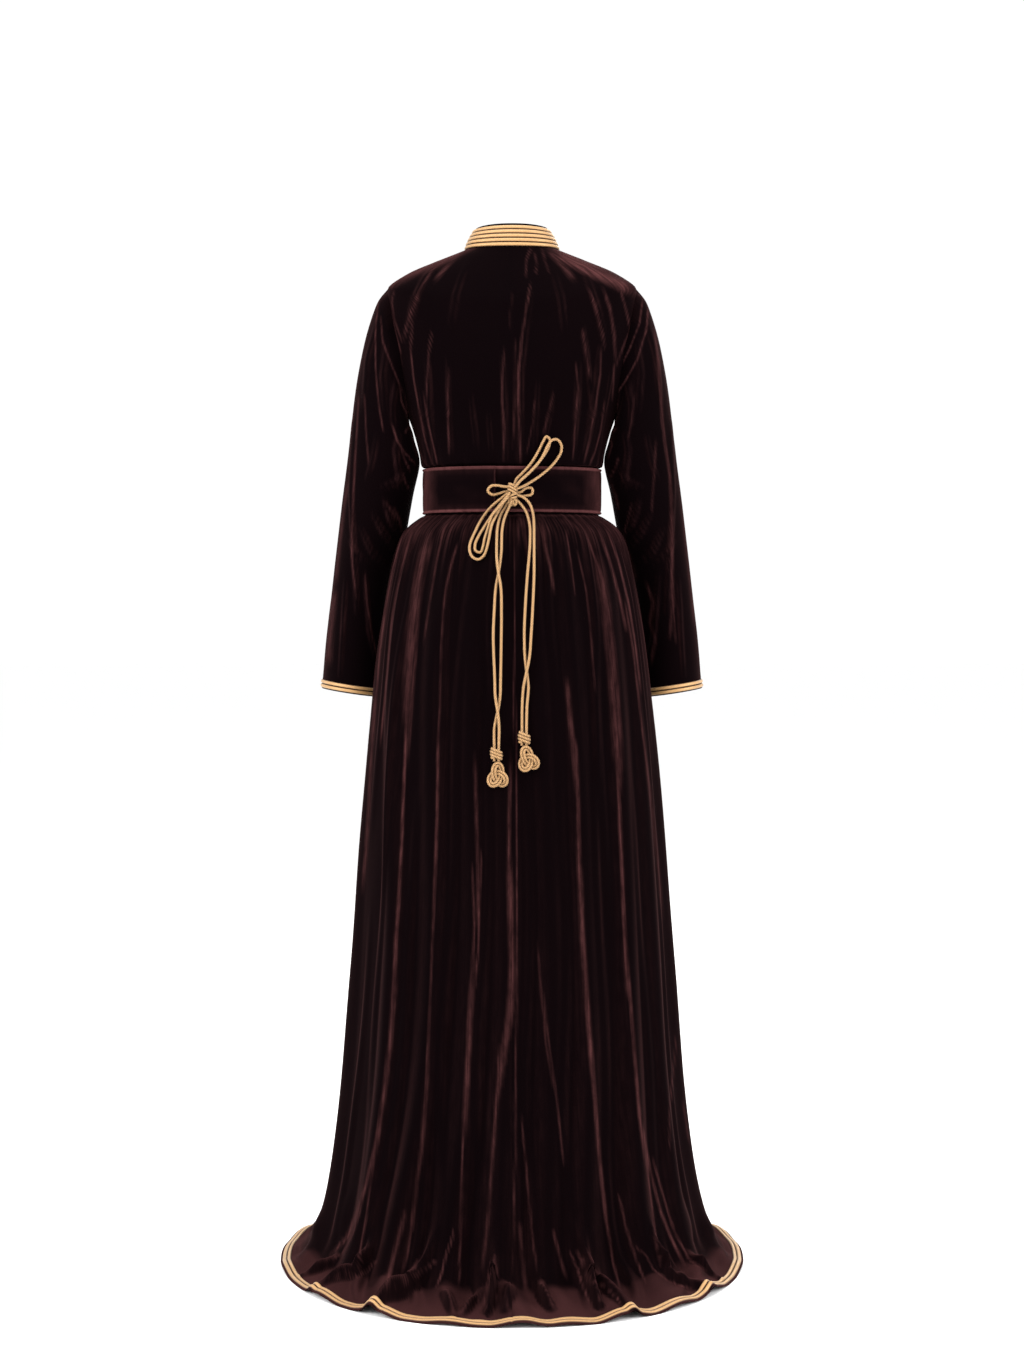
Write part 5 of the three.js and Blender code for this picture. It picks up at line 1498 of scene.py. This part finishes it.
class KAFTAN_OT_sleeves(bpy.types.Operator):
    """Makes both sleeves and the braids on their cuffs."""

    bl_idname = "kaftan.sleeves"
    bl_label = "Sleeves and cuffs"

    def execute(self, context):
        for label, side, lines in (
            ("left", 1, LEFT_SLEEVE_SHINE), ("right", -1, RIGHT_SLEEVE_SHINE),
        ):
            count, rows = SLEEVE_GRID
            grid, out = sleeve_grid(side, rows, count)
            obj = shell(f"velvet_sleeve_{label}", grid, out, lines, closed=True)
            velvet_piece(f"sleeve_{label}")
            self.add_cuff_braids(label, grid, out)
        return {"FINISHED"}

    def add_cuff_braids(self, label, grid, out):
        edge, before = grid[-1], grid[-3]
        up = unit(before - edge)
        normals = grid_normals(grid, True)[-2] * out
        for number, near, far in braid_rows(CUFF_BRAID):
            strip = [self.resampled(edge + up * distance) for distance in (near, far)]
            name, node = f"plait_cuff_{label}_{number}", f"cuff_braid_{label}_{number}"
            braid(name, node, strip, self.resampled(normals), CUFF_BRAID["width"], True)

    def resampled(self, ring):
        """A closed ring of points with three times as many."""
        at = np.arange(3 * len(ring)) / 3
        whole = np.concatenate((ring, ring[:1]))
        return np.stack([np.interp(at, range(len(whole)), line) for line in whole.T], -1)


class KAFTAN_OT_collar(bpy.types.Operator):
    """Makes the stand collar and the five braids that cover it."""

    bl_idname = "kaftan.collar"
    bl_label = "Collar"

    def execute(self, context):
        end = 180 - COLLAR_OPENING
        angles = np.linspace(-end, end, COLLAR_GRID[0])
        places = np.linspace(0.004, 1, COLLAR_GRID[1])
        obj = shell("velvet_collar", collar_surface(*np.meshgrid(angles, places)), -1)
        velvet_piece("collar")
        angles = np.linspace(-end, end, COLLAR_BRAID_POINTS)
        for number, near, far in braid_rows(COLLAR_BRAID):
            low, high = near / COLLAR_HEIGHT, far / COLLAR_HEIGHT
            middle = np.full(angles.shape, (low + high) / 2)
            normals = surface_normals(collar_surface, angles, middle)
            strip = [collar_surface(angles, np.full(angles.shape, at)) for at in (low, high)]
            name, node = f"plait_collar_{number}", f"collar_braid_{number}"
            braid(name, node, strip, -normals, COLLAR_BRAID["width"], False)
        return {"FINISHED"}


def belt_points(angle, out):
    """Points of the belt, whose first end lies over its second one at the back."""
    over_end = angle - 360 > BELT_LAP["start"] - 30
    turned = np.where(over_end, BELT_LAP["down_by"], angle)
    fall = (turned - BELT_LAP["lift_until"]) / (BELT_LAP["down_by"] - BELT_LAP["lift_until"])
    fall = np.clip(fall, 0, 1)
    grow = out + BELT_LAP["lift"] * (1 - fall**2 * (3 - 2 * fall))
    zero = np.zeros_like(grow)
    sizes = {
        "side": BELT["inner"] + grow, "back": BELT["back"] + grow, "front": BELT["front"] + grow,
        "middle": zero, "z_side": zero, "z_back": zero, "z_front": zero,
    }
    return ring_points(sizes, angle, SKIRT_ROUNDNESS)


class KAFTAN_OT_belt(bpy.types.Operator):
    """Makes the wide belt with its rolled edges and its lap at the back."""

    bl_idname = "kaftan.belt"
    bl_label = "Belt"

    def execute(self, context):
        face = [(-share, out) for share, out in reversed(BELT_FACE)] + list(BELT_FACE[1:])
        profile = np.array(face + list(BELT_BACK))
        angles = np.linspace(BELT_LAP["start"], BELT_LAP["end"], BELT_POINTS)
        run, up = np.meshgrid(angles * np.radians(1) * BELT["inner"], profile[:, 0] * BELT_HALF)
        obj = new_mesh(
            "velvet_belt", self.grid(profile, angles).reshape(-1, 3),
            bar_faces(len(profile), len(angles), False),
            [velvet("Belt Velvet"), velvet("Rolled Velvet Edge")],
            np.stack((run, up), -1).reshape(-1, 2) * MM,
        )
        mark(obj, "Painted Highlight", self.light(profile, angles, run, up).ravel())
        mark(obj, "Flat", np.zeros(run.size))
        self.set_edges(obj)
        velvet_piece("belt")
        return {"FINISHED"}

    def grid(self, profile, angles):
        """Rows of points along the belt, thinner towards its ends."""
        ends = np.minimum(angles - angles[0], angles[-1] - angles)
        thin = 0.45 + 0.55 * np.sqrt(np.clip(ends / 1.6, 0, 1))
        rows = []
        for share, out in profile:
            height = np.full(angles.shape, share * 2.5)
            wave = BELT_WAVES * uneven(angles * 0.12, height, 2.1) * (1 - share**2)
            depth = BELT["thick"] / 2 + (out - BELT["thick"] / 2) * thin
            points = belt_points(angles, depth + wave * (out > 1.5))
            sway = BELT_EDGE_WAVES * np.sin(angles * 0.11) * (1 - abs(share))
            points[:, 2] = BELT_MIDDLE + share * BELT_HALF + sway
            rows.append(points)
        return np.array(rows)

    def light(self, profile, angles, run, up):
        """Painted highlights on the pile of the belt: at its sides, at its lap and on its edges."""
        around = np.broadcast_to(np.abs(np.sin(np.radians(angles))), run.shape)
        height = np.broadcast_to(np.abs(profile[:, :1]), run.shape)
        light = 0.42 * np.clip((around - 0.76) / 0.24, 0, 1)
        light = light + 0.06 * uneven(run * 0.05, up * 0.06, 0.4)
        light = np.maximum(light, 0.5 * bump(angles - angles[0], 0.9))
        light = np.maximum(light, 0.1 * np.clip((height - 0.55) / 0.3, 0, 1))
        # The rolled edges get a full painted highlight
        return np.clip(np.where(height > BELT_EDGE_FROM, 0.8, light), 0, 1)

    def set_edges(self, obj):
        """Gives the rolled edges the belt's second material, a lighter copy of its velvet that paints a
        highlight on them.
        """
        centres = np.empty(len(obj.data.polygons) * 3)
        obj.data.polygons.foreach_get("center", centres)
        share = np.abs(centres[2::3] / MM - BELT_MIDDLE) / BELT_HALF
        rolled = (share > BELT_EDGE_FROM).astype(int)
        obj.data.polygons.foreach_set("material_index", rolled.tolist())


class Back:
    """How far back the garment reaches at a place on its back."""

    def __init__(self, names):
        points, faces = [], []
        for name in names:
            mesh = bpy.data.objects[name].data
            start = len(points)
            points += [vertex.co.copy() for vertex in mesh.vertices]
            faces += [[start + v for v in polygon.vertices] for polygon in mesh.polygons]
        self.tree = BVHTree.FromPolygons(points, faces)

    def at(self, x, z, reach=CORD / 2 + 0.6):
        found = []
        for aside in (-reach, 0, reach):
            for up in (-reach, 0, reach):
                start = Vector(((x + aside) * MM, 1, (z + up) * MM))
                hit = self.tree.ray_cast(start, Vector((0, -1, 0)))[0]
                if hit is not None:
                    found.append(hit.y / MM)
        return max(found)


def eased(values):
    """Each value is at least the highest of its neighbours, and changes evenly."""
    padded = np.concatenate((values[:1], values, values[-1:]))
    highest = np.maximum(np.maximum(padded[:-2], padded[1:-1]), padded[2:])
    padded = np.concatenate((highest[:1], highest, highest[-1:]))
    return (padded[:-2] + padded[1:-1] + padded[2:]) / 3


def knot_middle(back):
    behind = back.at(KNOT["x"], KNOT["z"]) + CORD_GAP + KNOT["half_depth"]
    return np.array((KNOT["x"], behind, KNOT["z"]))


def laid_line(route, step, back, inside=0.86):
    """A route laid on the garment's back, without what the knot hides."""
    flat = smooth_line([(x, lift, z) for x, z, lift in route], step)
    under = eased(np.array([back.at(x, z) for x, _, z in flat]))
    laid = np.stack((flat[:, 0], under + CORD / 2 + CORD_GAP + flat[:, 1], flat[:, 2]), -1)
    fine = smooth_line(laid, LAID_STEP)
    sizes = np.array((KNOT["half_width"], KNOT["half_depth"], KNOT["half_height"])) * inside
    clear = np.linalg.norm((fine - knot_middle(back)) / sizes, axis=1) > 1
    return fine[clear]


class KAFTAN_OT_lace(bpy.types.Operator):
    """Makes the lace of the belt: its knot, its bows and its two knotted tails."""

    bl_idname = "kaftan.lace"
    bl_label = "Lace of the belt"

    def execute(self, context):
        behind = [f"velvet_{piece}_back_{side}" for piece in ("bodice", "skirt")
                  for side in ("left", "right")]
        self.back = Back(["velvet_belt"] + behind)
        self.across = context.scene.kaftan_sizes.cord / MM
        self.add_knot()
        for name, route in BOWS.items():
            self.add_cord(name, laid_line(route, BOW_STEP, self.back), "object", [])
        for label in TAIL_ENDS:
            self.add_tail(label)
        return {"FINISHED"}

    def add_cord(self, name, path, far_end, with_pieces):
        obj = rope(f"rope_{name}", name, [path], self.across)

    def add_knot(self):
        """Turns of the lace round its own middle, with two small bights under them."""
        middle = knot_middle(self.back)
        r = self.across / 2
        turn = np.linspace(0, 2 * np.pi, TURN_POINTS, endpoint=False)
        paths = []
        for up, lean in KNOT_TURNS:
            squeeze = 1 - 0.35 * (up / KNOT["half_height"]) ** 2
            x = (KNOT["half_width"] - r) * squeeze * np.cos(turn)
            y = (KNOT["half_depth"] - r) * np.sin(turn) * squeeze
            paths.append(middle + np.stack((x, y + 0.8 * squeeze, up + lean * x), -1))
        half_x, half_z = KNOT_BIGHT_HALF
        for x, z in KNOT_BIGHTS:
            out = np.full(turn.shape, 1.5)
            loop = np.stack((x + half_x * np.cos(turn), out, z + half_z * np.sin(turn)), -1)
            paths.append(middle + loop)
        rope("rope_knot", "lace_knot", paths, self.across * 0.94, closed=True)

    def add_tail(self, label):
        end = TAIL_ENDS[label]
        wrap, middle = self.add_wrap(label, end)
        knot = self.add_tail_knot(label, end)
        for strand in ("a", "b"):
            name = f"tail_{label}_{strand}"
            path = laid_line(TAILS[name], TAIL_STEP, self.back)
            low = path[-1].copy()
            low[2] = end["top"] - end["height"] - 1
            low[1] = middle[1]
            down = smooth_line([path[-1], (path[-1] + low) / 2, low], LAID_STEP)[1:]
            self.add_cord(name, np.concatenate((path, down)), "knot", [wrap, knot])

    def add_wrap(self, label, end):
        r = self.across / 2
        bottom = end["top"] - end["height"]
        reach = WRAP["half_width"]
        under = max(self.back.at(end["x"], z, reach) for z in (end["top"], bottom))
        middle = np.array((end["x"], under + CORD_GAP + WRAP["half_depth"], bottom))
        turn = np.linspace(0, 2 * np.pi * WRAP["turns"], 60 * WRAP["turns"])
        down = np.linspace(end["height"] - 1.3 * r, 1.3 * r, len(turn))
        full = 1 - WRAP["taper"] * (2 * down / end["height"] - 1) ** 2
        x = (WRAP["half_width"] - r) * full * np.cos(turn)
        y = (WRAP["half_depth"] - r) * full * np.sin(turn)
        path = middle + np.stack((x, y, down + WRAP["slant"] * x), -1)
        obj = rope(f"rope_wrap_{label}", f"tail_wrap_{label}", [path], self.across)
        return obj, middle

    def add_tail_knot(self, label, end):
        """A flat knot of doubled lace with three lobes, over and under itself."""
        r = self.across / 2
        turn = np.linspace(0, 2 * np.pi, 190, endpoint=False)
        x = np.sin(turn) + 2 * np.sin(2 * turn)
        z = 2 * np.cos(2 * turn) - np.cos(turn)
        x = x / np.abs(x).max() * (LOBED["half_width"] - 2 * r)
        z = (z - (z.max() + z.min()) / 2) / (np.ptp(z) / 2) * (LOBED["height"] / 2 - 2 * r)
        y = -np.sin(3 * turn) * (LOBED["thick"] / 2 - r)
        line = np.stack((x, y, z), -1)
        ways = unit(np.roll(line, -1, axis=0) - np.roll(line, 1, axis=0))
        aside = unit(np.cross(ways, (0, 1, 0)))
        lean = math.radians(end["lean"])
        cos, sin = math.cos(lean), math.sin(lean)
        spin = np.array(((cos, 0, -sin), (0, 1, 0), (sin, 0, cos)))
        middle_z = end["knot_top"] - LOBED["height"] / 2
        under = max(self.back.at(end["knot_x"], middle_z, reach) for reach in (19.5, 9.75))
        middle = np.array((end["knot_x"], under + LOBED["gap"] + LOBED["thick"] / 2, middle_z))
        paths = [middle + (line + aside * off) @ spin for off in (-r * 0.95, r * 0.95)]
        name, node = f"rope_tail_knot_{label}", f"tail_knot_{label}"
        return rope(name, node, paths, self.across * 0.96, closed=True)


class KAFTAN_OT_stage(bpy.types.Operator):
    """Makes the camera, the floor and the soft studio lights."""

    bl_idname = "kaftan.stage"
    bl_label = "Stage"

    def execute(self, context):
        scene = context.scene
        data = bpy.data.cameras.new("Camera")
        data.lens = CAMERA["lens"]
        data.sensor_width = CAMERA["sensor"]
        camera = bpy.data.objects.new("Camera", data)
        camera.location = (0, CAMERA["y"], CAMERA["z"])
        camera.rotation_euler = (math.radians(90 - CAMERA["down"]), 0, math.pi)
        scene.collection.objects.link(camera)
        scene.camera = camera
        self.add_floor(CAD_BOX[0][2])
        for light in LIGHTS:
            self.add_light(*light)
        self.add_world(scene)
        scene.view_settings.view_transform = "Standard"
        return {"FINISHED"}

    def add_world(self, scene):
        """A white studio, which lights the garment a little more than it shows behind it."""
        world = bpy.data.worlds.new("Studio")
        world.use_nodes = True
        tree = world.node_tree
        seen = put(tree, "ShaderNodeLightPath").outputs["Is Camera Ray"]
        strength = spread(tree, seen, 0.0, 1.0, STUDIO_LIGHT, BACKDROP_LIGHT)
        tree.links.new(strength, tree.nodes["Background"].inputs["Strength"])
        tree.nodes["Background"].inputs["Color"].default_value = (1, 1, 1, 1)
        scene.world = world

    def add_floor(self, height):
        signs = ((-1, -1), (1, -1), (1, 1), (-1, 1))
        corners = [(x * FLOOR_REACH, y * FLOOR_REACH, height) for x, y in signs]
        mesh = bpy.data.meshes.new("Floor")
        mesh.from_pydata(corners, [], [(0, 1, 2, 3)])
        mesh.materials.append(new_material("Studio Floor", floor_shader))
        floor = bpy.data.objects.new("Floor", mesh)
        bpy.context.scene.collection.objects.link(floor)

    def add_light(self, name, place, size, power):
        data = bpy.data.lights.new(name, "AREA")
        data.shape = "DISK"
        data.size = size
        data.energy = power
        light = bpy.data.objects.new(name, data)
        light.location = place
        aim = Vector(LIT_PLACE) - light.location
        light.rotation_euler = aim.to_track_quat("-Z", "Y").to_euler()
        bpy.context.scene.collection.objects.link(light)


OPERATORS = (
    KAFTAN_OT_stage,
    KAFTAN_OT_skirt,
    KAFTAN_OT_bodice,
    KAFTAN_OT_sleeves,
    KAFTAN_OT_collar,
    KAFTAN_OT_belt,
    KAFTAN_OT_lace,
)


class KAFTAN_PT_panel(bpy.types.Panel):
    """Lists the pieces of the kaftan."""

    bl_label = "Kaftan"
    bl_idname = "KAFTAN_PT_panel"
    bl_space_type = "VIEW_3D"
    bl_region_type = "UI"
    bl_category = "Kaftan"

    def draw(self, context):
        for operator in OPERATORS:
            self.layout.operator(operator.bl_idname)
        for group in (context.scene.kaftan_sizes, context.scene.kaftan_colours):
            for name in group.__annotations__:
                self.layout.prop(group, name)


CLASSES = (KaftanSizes, KaftanColours, *OPERATORS, KAFTAN_PT_panel)


def register():
    for one in CLASSES:
        bpy.utils.register_class(one)
    bpy.types.Scene.kaftan_sizes = bpy.props.PointerProperty(type=KaftanSizes)
    bpy.types.Scene.kaftan_colours = bpy.props.PointerProperty(type=KaftanColours)


def unregister():
    del bpy.types.Scene.kaftan_sizes
    del bpy.types.Scene.kaftan_colours
    for one in reversed(CLASSES):
        bpy.utils.unregister_class(one)


def main():
    register()
    bpy.ops.kaftan.stage()
    bpy.ops.kaftan.skirt()
    bpy.ops.kaftan.bodice()
    bpy.ops.kaftan.sleeves()
    bpy.ops.kaftan.collar()
    bpy.ops.kaftan.belt()
    bpy.ops.kaftan.lace()


if __name__ == "__main__":
    main()
